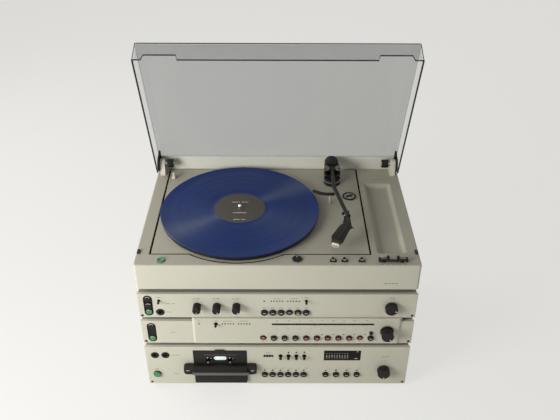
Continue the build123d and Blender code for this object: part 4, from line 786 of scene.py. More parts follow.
def pale_surroundings(world, shade, sky):
    """Even light of its own strength, and a plain pale view for the eye, mirrors and clear parts."""
    world.use_nodes = True
    tree = world.node_tree
    light = tree.nodes["Background"]
    fill(tree, light, {"Color": (1, 1, 1, 1), "Strength": sky})
    seen = wire(tree, "Background", "Background", {"Color": (*shade, 1)})
    both = wire(tree, "MixShader", "Shader", {0: seen_by_eye(tree), 1: light.outputs["Background"], 2: seen})
    fill(tree, tree.nodes["World Output"], {"Surface": both})


def pale_floor(surface, shade):
    """A matt floor that keeps its shadows but looks evenly pale to the eye."""
    tree = surface.node_tree
    matt = tree.nodes["Principled BSDF"]
    fill(tree, matt, {"Base Color": (*shade, 1), "Roughness": 0.8})
    plain_view = wire(tree, "Emission", "Emission", {"Color": (*shade, 1)})
    share = maths(tree, "MULTIPLY", seen_by_eye(tree), FLOOR_OWN_LIGHT)
    both = wire(tree, "MixShader", "Shader", {0: share, 1: matt.outputs["BSDF"], 2: plain_view})
    fill(tree, tree.nodes["Material Output"], {"Surface": both})


def lamp(name, power, size, place, target):
    """A square soft lamp that looks at a point. Places are in metres."""
    data = bpy.data.lights.new(name, "AREA")
    data.energy, data.size = power, size
    made = bpy.data.objects.new(name, data)
    made.location = place
    made.rotation_euler = (Vector(target) - Vector(place)).to_track_quat("-Z", "Y").to_euler()
    bpy.context.scene.collection.objects.link(made)


class MUSIC_OT_stage(Operator):
    """Lay the floor, hang the lamps and place the camera"""

    bl_idname = "music_centre.stage"
    bl_label = "Stage"

    def execute(self, context):
        scene, stage = context.scene, context.scene.music_centre.stage
        data = bpy.data.meshes.new("floor")
        square = [(x * FLOOR_REACH, y * FLOOR_REACH, 0) for x, y in ((-1, -1), (1, -1), (1, 1), (-1, 1))]
        data.from_pydata(square, [], [(0, 1, 2, 3)])
        surface = bpy.data.materials.new("floor_surface")
        surface.use_nodes = True
        pale_floor(surface, stage.floor)
        data.materials.append(surface)
        floor = bpy.data.objects.new("floor", data)
        scene.collection.objects.link(floor)
        scene.world = bpy.data.worlds.new("surroundings")
        pale_surroundings(scene.world, stage.floor, stage.sky)
        lamp("key_lamp", stage.key_power, 0.6, (-0.95, -0.85, 0.7), (0, -0.1, 0.2))
        lamp("fill_lamp", stage.fill_power, 1.6, (1.6, -1.8, 1.2), (0, 0, 0.25))
        lamp("rear_lamp", stage.rear_power, 1.0, (-1.3, 0.55, 1.1), (0, 0, 0.3))
        self.place_camera(scene, stage.lens)
        scene.view_settings.view_transform = "Standard"
        return {"FINISHED"}

    def place_camera(self, scene, lens):
        """Stand the camera in front of and above the deck, looking down."""
        down, aside, tilt = CAMERA_DOWN, CAMERA_ASIDE, CAMERA_TILT
        ahead = Vector((math.sin(aside) * math.cos(down), math.cos(aside) * math.cos(down), -math.sin(down)))
        right = Vector((math.cos(aside), -math.sin(aside), 0))
        above = right.cross(ahead)
        right, above = (
            right * math.cos(tilt) + above * math.sin(tilt),
            above * math.cos(tilt) - right * math.sin(tilt),
        )
        data = bpy.data.cameras.new("camera")
        data.lens, data.sensor_width, data.clip_start = lens, SENSOR_WIDTH, 0.05
        camera = bpy.data.objects.new("camera", data)
        turned = Matrix((right, above, -ahead)).transposed().to_4x4()
        camera.matrix_world = Matrix.Translation(CAMERA_PLACE * MM) @ turned
        scene.collection.objects.link(camera)
        scene.camera = camera


# ---------------------------------------------------------------- painted work
class MUSIC_OT_paintwork(Operator):
    """Paint the plinth, deck panel, fascias, cases and the parts inside"""

    bl_idname = "music_centre.paintwork"
    bl_label = "Paintwork"

    def execute(self, context):
        for finish, nodes in (
            (PLINTH_PAINT_LIGHT_AND_SHADE, ["plinth"]),
            (PANEL_PAINTED_SHADE, ["subchassis"]),
            (BOARD, ["plinth_floor"]),
            (FRONT_PAINT, ["amp_fascia", "tuner_fascia", "tape_fascia", "scale_panel"]),
            (CASE_PAINT_AND_SHADE, ["amp_case", "tuner_case", "tape_case"]),
            (STEEL, ["power_transformer", "drive_motor", "motor_pulley"]),
            (RUBBER, ["drive_belt"]),
            (RIBBED_RUBBER, ["platter_mat"]),
            (BLACK, ["tape_mechanism"]),
            (CREAM, ["hinge_brackets"]),
            (ACRYLIC, ["dust_cover"]),
        ):
            for node in nodes:
                dress(node, finish)
        return {"FINISHED"}


class MUSIC_OT_tray(Operator):
    """Press the accessory tray into the deck"""

    bl_idname = "music_centre.tray"
    bl_label = "Tray"

    def execute(self, context):
        middle_y = PLINTH_FRONT + 149.5
        drop = [(0.15, -8.92), (0.15, -0.12), (0.6, -0.06), (1.6, -0.35), (2.8, -1.3), (3.9, -2.9),
                (4.9, -5.0), (6.1, -7.0), (7.8, -8.2), (10.5, -8.6)]
        rings = [rounded(55 - 2 * i, 233 - 2 * i, max(1.5, 7 - i), h, 8) for i, h in drop]
        lining = Shape().skin(rings, DECK_SHADE_PAINT, upright(202.5, middle_y, DECK))
        lining.done("tray_lining", "stack", "deck_paint")
        deck_bars("tray_mark", [(199 + 5.5 * n, PLINTH_FRONT + 279, 3.6, 0) for n in range(4)], 1.6)
        return {"FINISHED"}


# ---------------------------------------------------------------- platter, record and spindle
class MUSIC_OT_platter(Operator):
    """Turn the platter with its bright rim line, and the spindle"""

    bl_idname = "music_centre.platter"
    bl_label = "Platter"

    def execute(self, context):
        at = upright(SPINDLE.x, SPINDLE.y, DECK)
        shape = Shape()
        shape.turned([(5, -33), (5, 2), (11, 4), (64, 4), (64, -8), (68, -8), (68, 4), (141, 4), (141, 1.5),
                      (148.2, 1.5)], BLACK, at, 144)
        shape.turned([(140, 4), (148.6, 4), (149, 3.6), (149, 2.9), (148.75, 2.7), (148.75, 2.5), (149, 2.3),
                      (148.6, 1.5), (141, 1.5)], BLACK, at, 144)
        shape.turned([(141, 3.9), (148.4, 3.9), (149, 4.2), (149, 6.4), (148.4, 7), (5, 7)], BLACK, at, 144)
        shape.done("platter_casting", "turntable", "black_plastic", ("platter",))
        line = [(148.2, 1.55), (149.05, 1.7), (149.05, 2.35), (148.2, 2.5)]
        Shape().washer(line, CHROME, at, 144).done("platter_trim", "turntable", "chrome_trim")
        pin = [(3.6, 6.8), (3.6, 15.8), (3.3, 17), (2.4, 18.3), (1.2, 18.9), (0, 19)]
        Shape().turned(pin, CHROME, at, 32).done("spindle", "turntable", "chrome_trim")
        return {"FINISHED"}


class MUSIC_OT_record(Operator):
    """Press the record: bead, grooves with track gaps, run-out and label"""

    bl_idname = "music_centre.record"
    bl_label = "Record"

    def execute(self, context):
        label = context.scene.music_centre.sizes.label_radius
        base = corners("record")[0].z
        at = upright(SPINDLE.x, SPINDLE.y, base)
        profile = [(3.65, 0), (149.8, 0), (150.5, 0.45), (150.5, 1.1), (150.1, 1.5), (149.4, 1.6),
                   (147.6, 1.55), (146.6, 1.28)]
        track_gaps = (129, 111, 96, 79)
        for gap in track_gaps:
            profile += [(gap + 0.9, 1.28), (gap + 0.5, 1.25), (gap - 0.5, 1.25), (gap - 0.9, 1.28)]
        profile += [(59, 1.28), (58.4, 1.18), (52, 1.18), (51, 1.3), (50.4, 1.52), (label, 1.56)]
        bands = [VINYL] * (len(profile) - 1) + [LABEL, LABEL, VINYL]
        disc = Shape().washer(profile + [(label - 0.4, 1.6), (3.65, 1.6)], bands, at, 160)
        disc.done("record_disc", "turntable", "vinyl_blue", ("record",))
        marks = [(SPINDLE.x + x, SPINDLE.y + y, long, 0) for x, y, long in (
            (-9, 20, 15), (9, 20, 13), (0, -16, 26), (-5, -38, 12), (8, -38, 8))]
        deck_bars("label_marks", marks, 1.3, base + 1.6, PALE_INK_AND_GLINT, "turntable", "white_plastic")
        return {"FINISHED"}


# ---------------------------------------------------------------- tonearm
# The ends of the headshell's right edge: x, and y from the plinth's front.
SHELL_ELBOW, SHELL_TIP = (129.2, 72.5), (113.4, 32.5)


class MUSIC_OT_arm_bearing(Operator):
    """Build the pedestal, the yoke with its bearing caps, and the arm rest"""

    bl_idname = "music_centre.arm_bearing"
    bl_label = "Arm bearing"

    def execute(self, context):
        shape = Shape()
        at = upright(PIVOT.x, PLINTH_FRONT + 269, DECK)
        shape.turned([(16.5, -0.5), (16.5, 2.8), (15.7, 3.3), (15.7, 4.4), (16.5, 4.9), (16.5, 11.2),
                      (15.6, 12.3), (13, 12.5), (0, 12.5)], BLACK, at, 64)
        shape.turned([(9, -11.5), (9, 0)], BLACK, upright(PIVOT.x, PIVOT.y, DECK), 32)
        shape.done("pedestal", "stack", "black_plastic", ("arm_pedestal",))
        band = [(16.3, 6.9), (16.75, 7.1), (16.75, 8.3), (16.3, 8.5)]
        Shape().washer(band, CHROME, at, 64).done("pedestal_band", "stack", "chrome_trim")
        self.yoke()
        self.rest()
        return {"FINISHED"}

    def yoke(self):
        """The turning yoke: its base and stub, two cheeks, and a cap and pivot screw on each side."""
        yoke = Shape()
        yoke.block(rounded(32, 18, 3), 12.9, 16.2, 0.6, BLACK, upright(PIVOT.x, PIVOT.y, DECK))
        yoke.turned([(4, -11), (4, 13)], STEEL, upright(PIVOT.x, PIVOT.y, DECK), 24)
        for side in (-1, 1):
            cheek = upright(PIVOT.x + side * 13.25, PIVOT.y, DECK)
            yoke.block(rounded(5.0, 17.4, 1.4), 16.0, 17.6, 0.1, GREY_TRIM_AND_HIGHLIGHT, cheek, steps=1)
            yoke.block(rounded(5.5, 18, 1.6), 17.4, 32.6, 1.6, BLACK, cheek, below=0.5)
        yoke.done("yoke", "yoke", "black_metal", ("arm_yoke",))
        caps = Shape()
        for side in (-1, 1):
            at = Matrix.Translation((PIVOT.x + side * 11.7, PIVOT.y - 3.6, DECK + 29.8))
            at = at @ Matrix.Rotation(math.radians(48), 4, "X")
            cap = [(4.4, 0), (5.4, 0.6), (5.7, 2.6), (5.7, 3.4), (5.1, 4.3), (3.8, 4.7), (3.4, 4.4),
                   (1.4, 4.8), (0, 4.9)]
            caps.turned(cap, [BLACK] * 3 + [STEEL, DULL_METAL, BLACK, DULL_METAL, DULL_METAL], at, 36)
            caps.turned([(0, 0), (2.6, 0), (2.9, 0.3), (2.9, 0.8), (2.3, 1.1), (0, 1.1)], CHROME,
                        sideways(PIVOT.x + side * 16, PIVOT.y, PIVOT.z, side), 24)
        caps.done("bearing_caps", "yoke", "chrome_trim")

    def rest(self):
        """The arm rest: a waisted post, its cup, and the lip that stops the arm."""
        low, high = corners("arm_rest")
        rest_x, rest_y = (low.x + high.x) / 2, (low.y + high.y) / 2
        rest = Shape()
        rest.turned([(3.9, 0), (4.2, 0.4), (3.4, 1.4), (2.5, 2.4), (2.5, high.z - low.z - 6)], BLACK,
                    upright(rest_x, rest_y, low.z), 28)
        cup = high.z - 6.95
        rest.block(rounded(13.4, 7, 1.5), cup, cup + 2.7, 0.5, BLACK, upright(rest_x, rest_y, 0), below=0.5)
        rest.block(rounded(2.0, 6.6, 0.8), cup + 2.4, high.z, 0.6, BLACK, upright(high.x - 1.05, rest_y, 0))
        rest.done("arm_rest_post", "stack", "black_plastic", ("arm_rest",))


class MUSIC_OT_tonearm(Operator):
    """Bend the arm tube and hang its counterweight, headshell and cartridge"""

    bl_idname = "music_centre.tonearm"
    bl_label = "Tonearm"

    def execute(self, context):
        tail = Vector((PIVOT.x, PLINTH_FRONT + 306, PIVOT.z))
        bend = Vector((109.8, PLINTH_FRONT + 210, PIVOT.z))
        collar = Vector((129.2, PLINTH_FRONT + 117, PIVOT.z - 3))
        along = (collar - bend).normalized()
        tube = Shape()
        path = bent_path([tail, Vector(PIVOT), bend, collar], [12, 30])
        tube.tube(path, 3.7, ARM_METAL, 28)
        tube.turned([(0.01, -10.2), (5.6, -10.2), (6, -9.8), (6, 9.8), (5.6, 10.2), (0.01, 10.2)], ARM_METAL,
                    sideways(*PIVOT), 32)
        tube.turned([(0.01, -15.4), (1.5, -15.4), (1.5, 15.4), (0.01, 15.4)], STEEL, sideways(*PIVOT), 16)
        tube.done("arm_pipe", "tonearm", "dark_metal", ("arm_tube",))

        weight = Shape()
        weight.washer([(3.75, 0), (12.2, 0), (13.6, 0.6), (14, 1.8), (14, 5.6), (13.4, 6.0), (13.4, 6.8),
                       (14, 7.2), (14, 12.8), (13.4, 13.2), (13.4, 14), (14, 14.4), (14, 18.4), (13.4, 19.5),
                       (12, 20), (3.75, 20)], CHARCOAL, backward(PIVOT.x, PLINTH_FRONT + 288, PIVOT.z), 72)
        weight.turned([(0.01, 19.2), (3.4, 19.2), (3.4, 20.0), (2.6, 20.2), (0.01, 20.2)], STEEL,
                      backward(PIVOT.x, PLINTH_FRONT + 286, PIVOT.z), 24)
        weight.done("balance_weight", "tonearm", "black_metal", ("counterweight",))

        self.headshell(collar, along)
        self.cartridge()
        return {"FINISHED"}

    def headshell(self, collar, along):
        """The locking collar, the elbowed shell with its spine and screws, and the finger lift."""
        turn = along.to_track_quat("Z", "Y").to_matrix().to_4x4()
        shape = Shape()
        at = Matrix.Translation(collar) @ turn
        shape.turned([(3.8, -6), (4.7, -5.8), (5, -5.3), (5, -1.6), (4.6, -1.3), (4.6, -0.6), (5, -0.3),
                      (5, 3.4), (4.4, 4), (3.8, 4)], ARM_METAL, at, 96, 24, 0.35, (2, 3))
        outline = [(124.4, 114), (132.8, 114), (134, 78), SHELL_ELBOW, SHELL_TIP, (94.4, 42.5), (95, 52),
                   (112.5, 84.5), (122.4, 95)]
        smooth = []
        for i, point in enumerate(outline):
            before, here = Vector(outline[i - 1]), Vector(point)
            after = Vector(outline[(i + 1) % len(outline)])
            for t in (0, 0.5, 1):
                a, b = here + (before - here).normalized() * 1.6, here + (after - here).normalized() * 1.6
                spot = (1 - t) ** 2 * a + 2 * t * (1 - t) * here + t * t * b
                smooth.append((spot.x, PLINTH_FRONT + spot.y, 0))
        level = collar.z
        shape.block(smooth, level - 1.5, level + 1.5, 0.8, ARM_METAL, below=0.4)
        spine = [(x, PLINTH_FRONT + y, level + up) for x, y, up in (
            (128.4, 112, 1.6), (128.2, 90, 1.6), (124.5, 78, 1.6), (106.5, 42, 1.2))]
        shape.tube(bent_path(spine, [10, 10], 5), 1.6, ARM_METAL, 12)
        shape.done("shell", "tonearm", "dark_metal", ("headshell",))
        screws = Shape()
        for x, y in ((99.6, 49.5), (111.4, 44.8)):
            screws.turned([(0.01, 1.3), (1.7, 1.3), (1.7, 2.3), (1.3, 2.6), (0.01, 2.6)], BLACK_GLOSS,
                          upright(x, PLINTH_FRONT + y, level), 18)
        screws.turned([(0.01, 0), (1.1, 0), (1.1, 1.8), (0.7, 2.2), (0.01, 2.2)], STEEL,
                      sideways(collar.x - 4.4, collar.y + 0.6, collar.z, -1), 14)
        screws.done("shell_screws", "tonearm", "dark_metal")
        lift = [(130.5, PLINTH_FRONT + 84, level), (135, PLINTH_FRONT + 78, level + 0.5),
                (136, PLINTH_FRONT + 71, level + 3)]
        Shape().tube(bent_path(lift, [3], 6), 0.9, ARM_METAL, 10).done("finger_lift", "tonearm", "dark_metal")

    def cartridge(self):
        """The cartridge body under the shell, its red band, pale front and steel stylus guard."""
        turn = -math.atan2(SHELL_ELBOW[0] - SHELL_TIP[0], SHELL_ELBOW[1] - SHELL_TIP[1])
        at = upright(105.6, PLINTH_FRONT + 48, DECK + 10.6 + 0.3, turn)
        body = Shape()
        body.block(rounded(17, 15.5, 1.4, y=1.8), 3.0, 11.5, 0.5, CARTRIDGE_RED, at, below=0.8)
        body.block(rounded(17.2, 3.2, 0.8, y=-7.9), 5.8, 11.6, 0.5, CARTRIDGE_RED, at, below=0.4)
        body.done("cartridge_body", "tonearm", "red_plastic", ("cartridge",))
        front = Shape().block(rounded(12.5, 2.6, 0.7, y=-9.9), 3.4, 8.2, 0.6, CREAM, at, below=0.5)
        front.done("cartridge_front", "tonearm", "white_plastic")
        guard = Shape()
        loop = [(-6, -10, 4.5), (-6.2, -12.6, 3.2), (-4.5, -13.6, 2.4), (0, -13.9, 2.2), (4.5, -13.6, 2.4),
                (6.2, -12.6, 3.2), (6, -10, 4.5)]
        guard.tube([tuple(at @ Vector(p)) for p in loop], 0.7, STEEL, 10)
        guard.turned([(0.01, 0.02), (0.25, 0.4), (0.6, 1.6), (0.8, 3.1)], STEEL,
                     at @ Matrix.Translation((0, -9, 0)), 12)
        guard.done("stylus_guard", "tonearm", "chrome_trim")


class MUSIC_OT_arm_lift(Operator):
    """Make the curved lift bar and the bias dial"""

    bl_idname = "music_centre.arm_lift"
    bl_label = "Arm lift"

    def execute(self, context):
        top, bar_radius = PIVOT.z - 4.9, 84
        shape = Shape()
        rings, count = [], 14
        for n in range(count + 1):
            share = n / count
            angle = math.radians(239.6 + 30.4 * share)
            out = Vector((math.cos(angle), math.sin(angle), 0))
            reach = bar_radius + 2.4 * math.sin(math.pi * share)
            spot = Vector((*(PIVOT + out * reach).xy, top - 1.5))
            taper = 0.55 if n in (0, count) else 1
            rings.append([tuple(spot + out * across * taper + Vector((0, 0, up * taper)))
                          for across, up, _ in rounded(8, 4.2, 1.9, steps=4)])
        shape.skin(rings, BLACK)
        post = math.radians(264)
        shape.turned([(2.2, PANEL_TOP - 8), (2.2, top - 1.5)], DECK_SHADE_PAINT,
                     upright(PIVOT.x + bar_radius * math.cos(post), PIVOT.y + bar_radius * math.sin(post)),
                     20)
        shape.done("lift_rail", "lift_bar", "dark_metal", ("arm_lift_bar",))
        at = upright(141.7, PLINTH_FRONT + 216, PANEL_TOP + 0.25)
        dial = Shape()
        dial.turned([(3, -7), (3, 0), (12.8, 0), (13.4, 0.5), (13.4, 1.9), (12.8, 2.5), (10.9, 2.5),
                     (10.4, 2.1), (10.4, 1.2)], [BLACK] * 8, at, 56)
        dial.turned([(0.01, 0.9), (10.4, 0.9), (10.4, 1.35), (9.8, 1.5), (0.01, 1.5)], DECK_SHADE_PAINT, at, 56)
        dial.block(rounded(15, 6.4, 3.0), 1.45, 2.45, 0.4, BLACK, at @ Matrix.Rotation(0.5, 4, "Z"))
        for angle in (2.2, 5.3):
            dial.block(rounded(3.2, 1.2, 0.5, x=7.6), 1.45, 1.9, 0.2, BLACK,
                       at @ Matrix.Rotation(angle, 4, "Z"))
        dial.done("bias_dial", "antiskate_dial", "black_plastic", ("antiskate_dial",))
        return {"FINISHED"}


# ---------------------------------------------------------------- deck controls
class MUSIC_OT_deck_controls(Operator):
    """Make the power key, pitch knob, three keys and lift lever along the deck's front"""

    bl_idname = "music_centre.deck_controls"
    bl_label = "Deck controls"

    def execute(self, context):
        key = [(7.0, -9), (7.4, -8.6), (7.4, 1.2), (7.1, 2.0), (6.4, 2.5), (5.4, 2.6), (5.0, 2.35), (2, 1.9),
               (0, 1.85)]
        power = Shape().turned(key, GREEN, upright(-203.5, PLINTH_FRONT + 13, DECK), 48)
        power.done("deck_power", "deck_power_key", "green_lens", ("deck_power_key",))
        knob_x, knob_y = 34, PLINTH_FRONT + 17
        at = upright(knob_x, knob_y, DECK)
        knob = Shape()
        knob.turned([(3, -8.8), (3, 0.25), (8.5, 0.25), (8.7, 0.5), (8.7, 1.9), (8.1, 2.5), (7.2, 2.6),
                     (6.8, 2.3), (0, 2.2)], CHARCOAL, at, 128, 32, 0.4, (2, 4))
        knob.block(rounded(1.1, 3.4, 0.4, y=5.0), 2.1, 2.5, 0.1, PALE_INK_AND_GLINT, at, steps=1)
        knob.done("pitch_dial", "pitch_knob", "black_plastic", ("pitch_knob",))
        ticks = []
        for n in range(9):
            a = math.radians(218 + 13 * n)
            ticks.append((knob_x + 12.2 * math.cos(a), knob_y + 11.4 * math.sin(a), 1.6, a))
        deck_bars("pitch_scale", ticks, 0.7)
        keys, key_bars, nubs = Shape(), Shape(), Shape()
        marks = []
        for x in (96.7, 116.6, 146.8):
            key = upright(x, PLINTH_FRONT + 12.5, DECK)
            keys.block(rounded(11.5, 6.6, 3.2), -8, 2.4, 0.7, BLACK_GLOSS, key)
            key_bars.block(rounded(5.8, 2.0, 0.95), 2.3, 2.5, 0.1, PALE_INK_AND_GLINT, key, steps=1)
            nubs.turned([(2.2, -0.1), (2.2, 1.6), (1.8, 2.3), (0, 2.5)], BLACK_GLOSS,
                        upright(x, PLINTH_FRONT + 19.4, DECK), 20)
            marks.append((x, PLINTH_FRONT + 3.6, 6, 0))
        keys.done("deck_key_caps", "deck_keys", "black_plastic", ("deck_keys",))
        key_bars.done("deck_key_bars", "deck_keys", "white_plastic")
        nubs.done("deck_key_stops", "stack", "black_plastic")
        marks += [(181 + 10 * n, PLINTH_FRONT + 3.4, 5, 0) for n in range(5)]
        deck_bars("deck_marks", marks, 0.9)
        self.lever()
        return {"FINISHED"}

    def lever(self):
        """The rocking lift lever: two dark ends, sloped cheeks with painted sheen up to two nubs, and a
        rounded front bar.
        """
        y, z = PLINTH_FRONT + 12.5, DECK + 3.5
        shape = Shape()
        mid_x = 201.25
        shape.turned([(1.6, -25.6), (2.0, -25.2), (2.0, 25.2), (1.6, 25.6)], BLACK,
                     sideways(mid_x, y - 1, z - 1), 28)
        front_bar = [(mid_x - 22 + 4.4 * n, y - 3.1 - 0.9 * math.sin(math.pi * n / 10), z + 0.4)
                     for n in range(11)]
        shape.tube(front_bar, 1.6, BLACK_GLOSS, 12, [1.1, 1.4] + [1.7] * 7 + [1.4, 1.1])
        for side in (-1, 1):
            shape.block(rounded(3.4, 8.6, 0.8), z - 2.4, z + 2.6, 0.5, BLACK, upright(mid_x + side * 23.8, y))
            cheek = [(side * a, b, 0) for a, b in ((22.5, -2.4), (22.5, 2.6), (10.5, 5.4),
                                                   (6.8, 5.4), (6.8, -2.4))]
            shape.block(cheek, z - 1, z + 2.2, 0.7, BLACK_GLOSS, upright(mid_x, y))
            # Painted sheen: a grey patch for the reflection on top of each cheek.
            sheen = [(side * a, b, 0) for a, b in ((21.4, -1.8), (21.4, 1.6), (12.2, 4.2), (10.2, -0.4))]
            shape.block(sheen, z + 2.1, z + 2.35, 0.1, PAINTED_SHEEN, upright(mid_x, y), steps=1)
            shape.turned([(2.3, z), (2.3, z + 4.4), (1.8, z + 5.5), (0, z + 5.8)], BLACK_GLOSS,
                         upright(mid_x + side * 8.6, y + 3.2), 20)
            shape.block(rounded(6, 3, 0.6), DECK - 8, z, 0.3, BLACK, upright(mid_x + side * 15.75, y))
        shape.done("lift_rocker", "lever", "warm_plastic", ("lift_lever",))


# ---------------------------------------------------------------- dust cover and hinges
class MUSIC_OT_cover(Operator):
    """Draw painted shade as dark tubes along the dust cover's edges, and make its hinge knobs, arms and lock
    lever
    """

    bl_idname = "music_centre.cover"
    bl_label = "Dust cover"

    def execute(self, context):
        front, rear, rim, top = -303.0, 25.0, -19.0, 25.0
        # Painted shade: dark tubes along the cover's edges, standing for how the acrylic's edges darken by
        # refraction.
        lines = Shape()

        def line(points, radius=0.9):
            lines.tube([tuple(COVER @ Vector(p)) for p in points], radius, ACRYLIC_EDGE_SHADE, 8)

        half = 248.6
        notch = [(-half, rim + 0.8)]
        for sign in (-1, 1):
            span = [(234, rim + 0.8), (230.8, rim + 12.8), (175.2, rim + 12.8), (172, rim + 0.8)]
            for x, z in (span if sign < 0 else span[::-1]):
                notch.append((sign * x, z))
        notch.append((half, rim + 0.8))
        line([(x, front + 1.4, z) for x, z in notch], 1.2)
        for side in (-1, 1):
            x = side * half
            line([(x - side * 0.3, front + 1.7, rim + 1.1), (x - side * 0.3, 8, rim + 1.1)], 1.6)
            line([(x, front + 2.2, rim + 0.8), (x, front + 2.2, top - 2.2)], 0.8)
            line([(x, rear - 2.2, 13.5), (x, rear - 2.2, top - 2.2)])
            line([(x, front + 1.4, top - 1.6), (x, rear - 1.4, top - 1.6)], 0.3)
            line([(x, 8, rim + 0.8), (x, rear - 3.5, 13.5)])
        for y in (front + 1.6, rear - 1.6):
            line([(-half, y, top - 1.6), (half, y, top - 1.6)])
        line([(-half, rear - 1.6, 13.8), (half, rear - 1.6, 13.8)])
        lines.done("cover_edges", "cover", "smoked_acrylic")

        arms, knobs = Shape(), Shape()
        for side in (-1, 1):
            out = sideways(0, HINGE.y, HINGE.z, side)
            arms.turned([(0.01, 243.4), (16.4, 243.4), (17, 243.9), (17, 246.4), (16.4, 247), (0.01, 247)],
                        BLACK, out, 48)
            arms.turned([(3, 215.5), (3, 246)], STEEL, out, 24)
            plate = [(y, z, 0) for y, z in ((-14, 1), (-15, 21.6), (6, 21.6), (7, 1))]
            arms.skin([[tuple(COVER @ Vector((side * x, p[0], p[1]))) for p in plate] for x in (243.4, 247)],
                      BLACK)
            knobs.turned([(3.2, 215), (7.6, 215), (8.5, 215.9), (8.5, 228.3), (7.8, 229), (3.2, 229)],
                         BLACK_GLOSS, out, 96, 24, 0.5, (2, 3))
            knobs.turned([(0.01, 214.4), (3.4, 214.4), (3.9, 214.9), (3.9, 215.4)], STEEL, out, 24)
        arms.done("cover_arms", "cover", "black_plastic", ("hinge_arms",))
        knobs.done("hinge_knobs", "cover", "black_plastic")
        lock = Shape()
        at = upright(-214, PLINTH_FRONT + 284, DECK + 0.4)
        lock.block(rounded(7, 9, 2), 0, 4, 0.9, CREAM, at)
        lock.block(rounded(3.6, 3.6, 1.2), 3.8, 13, 0.9, CREAM, at)
        lock.turned([(2, -9), (2, 0.5)], STEEL, at, 16)
        lock.done("transit_lock", "lock_lever", "white_plastic", ("lock_lever",))
        return {"FINISHED"}


# ---------------------------------------------------------------- front panels
class MUSIC_OT_front_keys(Operator):
    """Make every round push key of the amplifier, tuner and cassette deck"""

    bl_idname = "music_centre.front_keys"
    bl_label = "Front keys"

    def execute(self, context):
        source = [(x, AMP + 13.2) for x in SOURCE_KEYS]
        push_keys("source_caps", source, 6.1, 4.5, FRONT, BLACK, ("source_keys",), lit={4: YELLOW_WINDOW},
                  pressed=(3,), mark=MARK_AND_GLINT)
        station = [(x, TUNER + 17.8) for x in STATION_KEYS]
        push_keys("station_caps", station, 5.7, 4.5, PANEL_FRONT, BLACK, ("station_keys",),
                  lit={n: RED_WINDOW for n in (0, 4, 5, 6, 7, 8, 9)}, pressed=(0, 9), mark=MARK_AND_GLINT)
        small = [(2.8, -9), (3.2, -8.6), (3.2, 3.2), (2.6, 3.9), (1.6, 4), (0, 3.9)]
        memory = Shape().turned(small, BLACK, facing(172.5, PANEL_FRONT, TUNER + 30.5), 28)
        memory.done("memory_cap", "station_keys", "black_plastic")
        tape = [(x, TAPE + 27.1) for x in TAPE_KEYS]
        push_keys("tape_caps", tape, 5.9, 4.5, FRONT, BLACK, ("tape_keys",), mark=MARK_AND_GLINT)
        push_keys("tape_power", [(-231.8, TAPE + 28.5)], 7.4, 4.5, FRONT, GREEN, ("tape_power_key",),
                  "green_lens", rim=GREEN_RIM_SHADE)
        self.pills()
        return {"FINISHED"}

    def pills(self):
        """The black liners of the two long recesses, and the black and green keys in them, with painted
        highlight arcs on the keys.
        """
        liner = Shape()
        for middle_z, length_z in ((AMP_PILL, 47.5), (TUNER_PILL, 46.5)):
            rings = [rounded(16.3 - 2 * i, length_z - 0.1 - 2 * i, 8.1 - i, h, 10) for i, h in
                     ((0.9, 0.28), (0.1, 0.25), (0.05, 0), (0.05, -1.7), (1.2, -1.92), (3, -1.95))]
            liner.skin(rings, BLACK, facing(PILL_X, FRONT, middle_z), ends="last")
        liner.done("pill_liners", "stack", "black_plastic")
        black = [AMP_PILL + PILL_PITCH, AMP_PILL, TUNER_PILL + PILL_PITCH]
        push_keys("pill_caps", [(PILL_X, z) for z in black], 6.2, 1.0, FRONT, BLACK_GLOSS, ("pill_keys",),
                  rim=BLACK, painted_glint=True)
        for name, middle_z in (("amp_power", AMP_PILL), ("tuner_power", TUNER_PILL)):
            push_keys(name, [(PILL_X, middle_z - PILL_PITCH)], 6.2, 1.0, FRONT, GREEN, (name + "_key",),
                      "green_lens", rim=GREEN_RIM_SHADE, painted_glint=True)


class MUSIC_OT_knobs(Operator):
    """Make the tone, balance, volume, tuning and level knobs with their printed scales"""

    bl_idname = "music_centre.knobs"
    bl_label = "Knobs"

    def execute(self, context):
        marks, names = [], []
        tone_z, volume_z, level_z, right_x = AMP + 29.5, AMP + 26.8, TAPE + 40.5, 204.2
        tone_knobs = (("bass_knob", -144, -1.57), ("treble_knob", -108.8, -1.2),
                      ("balance_knob", -73.6, -0.9))
        for name, x, turn in tone_knobs:
            control_knob(name + "_cap", x, tone_z, 7.3, 17, FRONT, turn, name, (name,))
            marks += dial_ticks(x, tone_z, 11.2, 1.5)
            names += [(x - 5, AMP + 45.5, 4, 0), (x + 2.5, AMP + 45.5, 6, 0)]
        control_knob("volume_cap", right_x, volume_z, 11.4, 12, FRONT, -0.25, "volume_knob", ("volume_knob",))
        marks += dial_ticks(right_x, volume_z, 15.2, 1.8, 13)
        control_knob("level_cap", right_x, level_z, 12, 14.5, FRONT, -1.57, "level_knob", ("level_knob",))
        marks += dial_ticks(right_x, level_z, 15.8, 1.8, 13)
        names += [(right_x, AMP + 47.3, 10, 0), (206.5, TAPE + 75, 15, 0)]
        names += [(x, TAPE + 63.5, long, 0) for x, long in ((200, 2), (204.5, 1.6), (209, 2))]
        control_knob("tuning_cap", 201, TUNER + 35.5, 11.2, 18.5, PANEL_FRONT, -0.9, "tuning_knob",
                     ("tuning_knob",), 12.4)
        front_bars("knob_scales", marks, FRONT, 0.55)
        front_bars("knob_names", names, FRONT, 1.0)
        return {"FINISHED"}


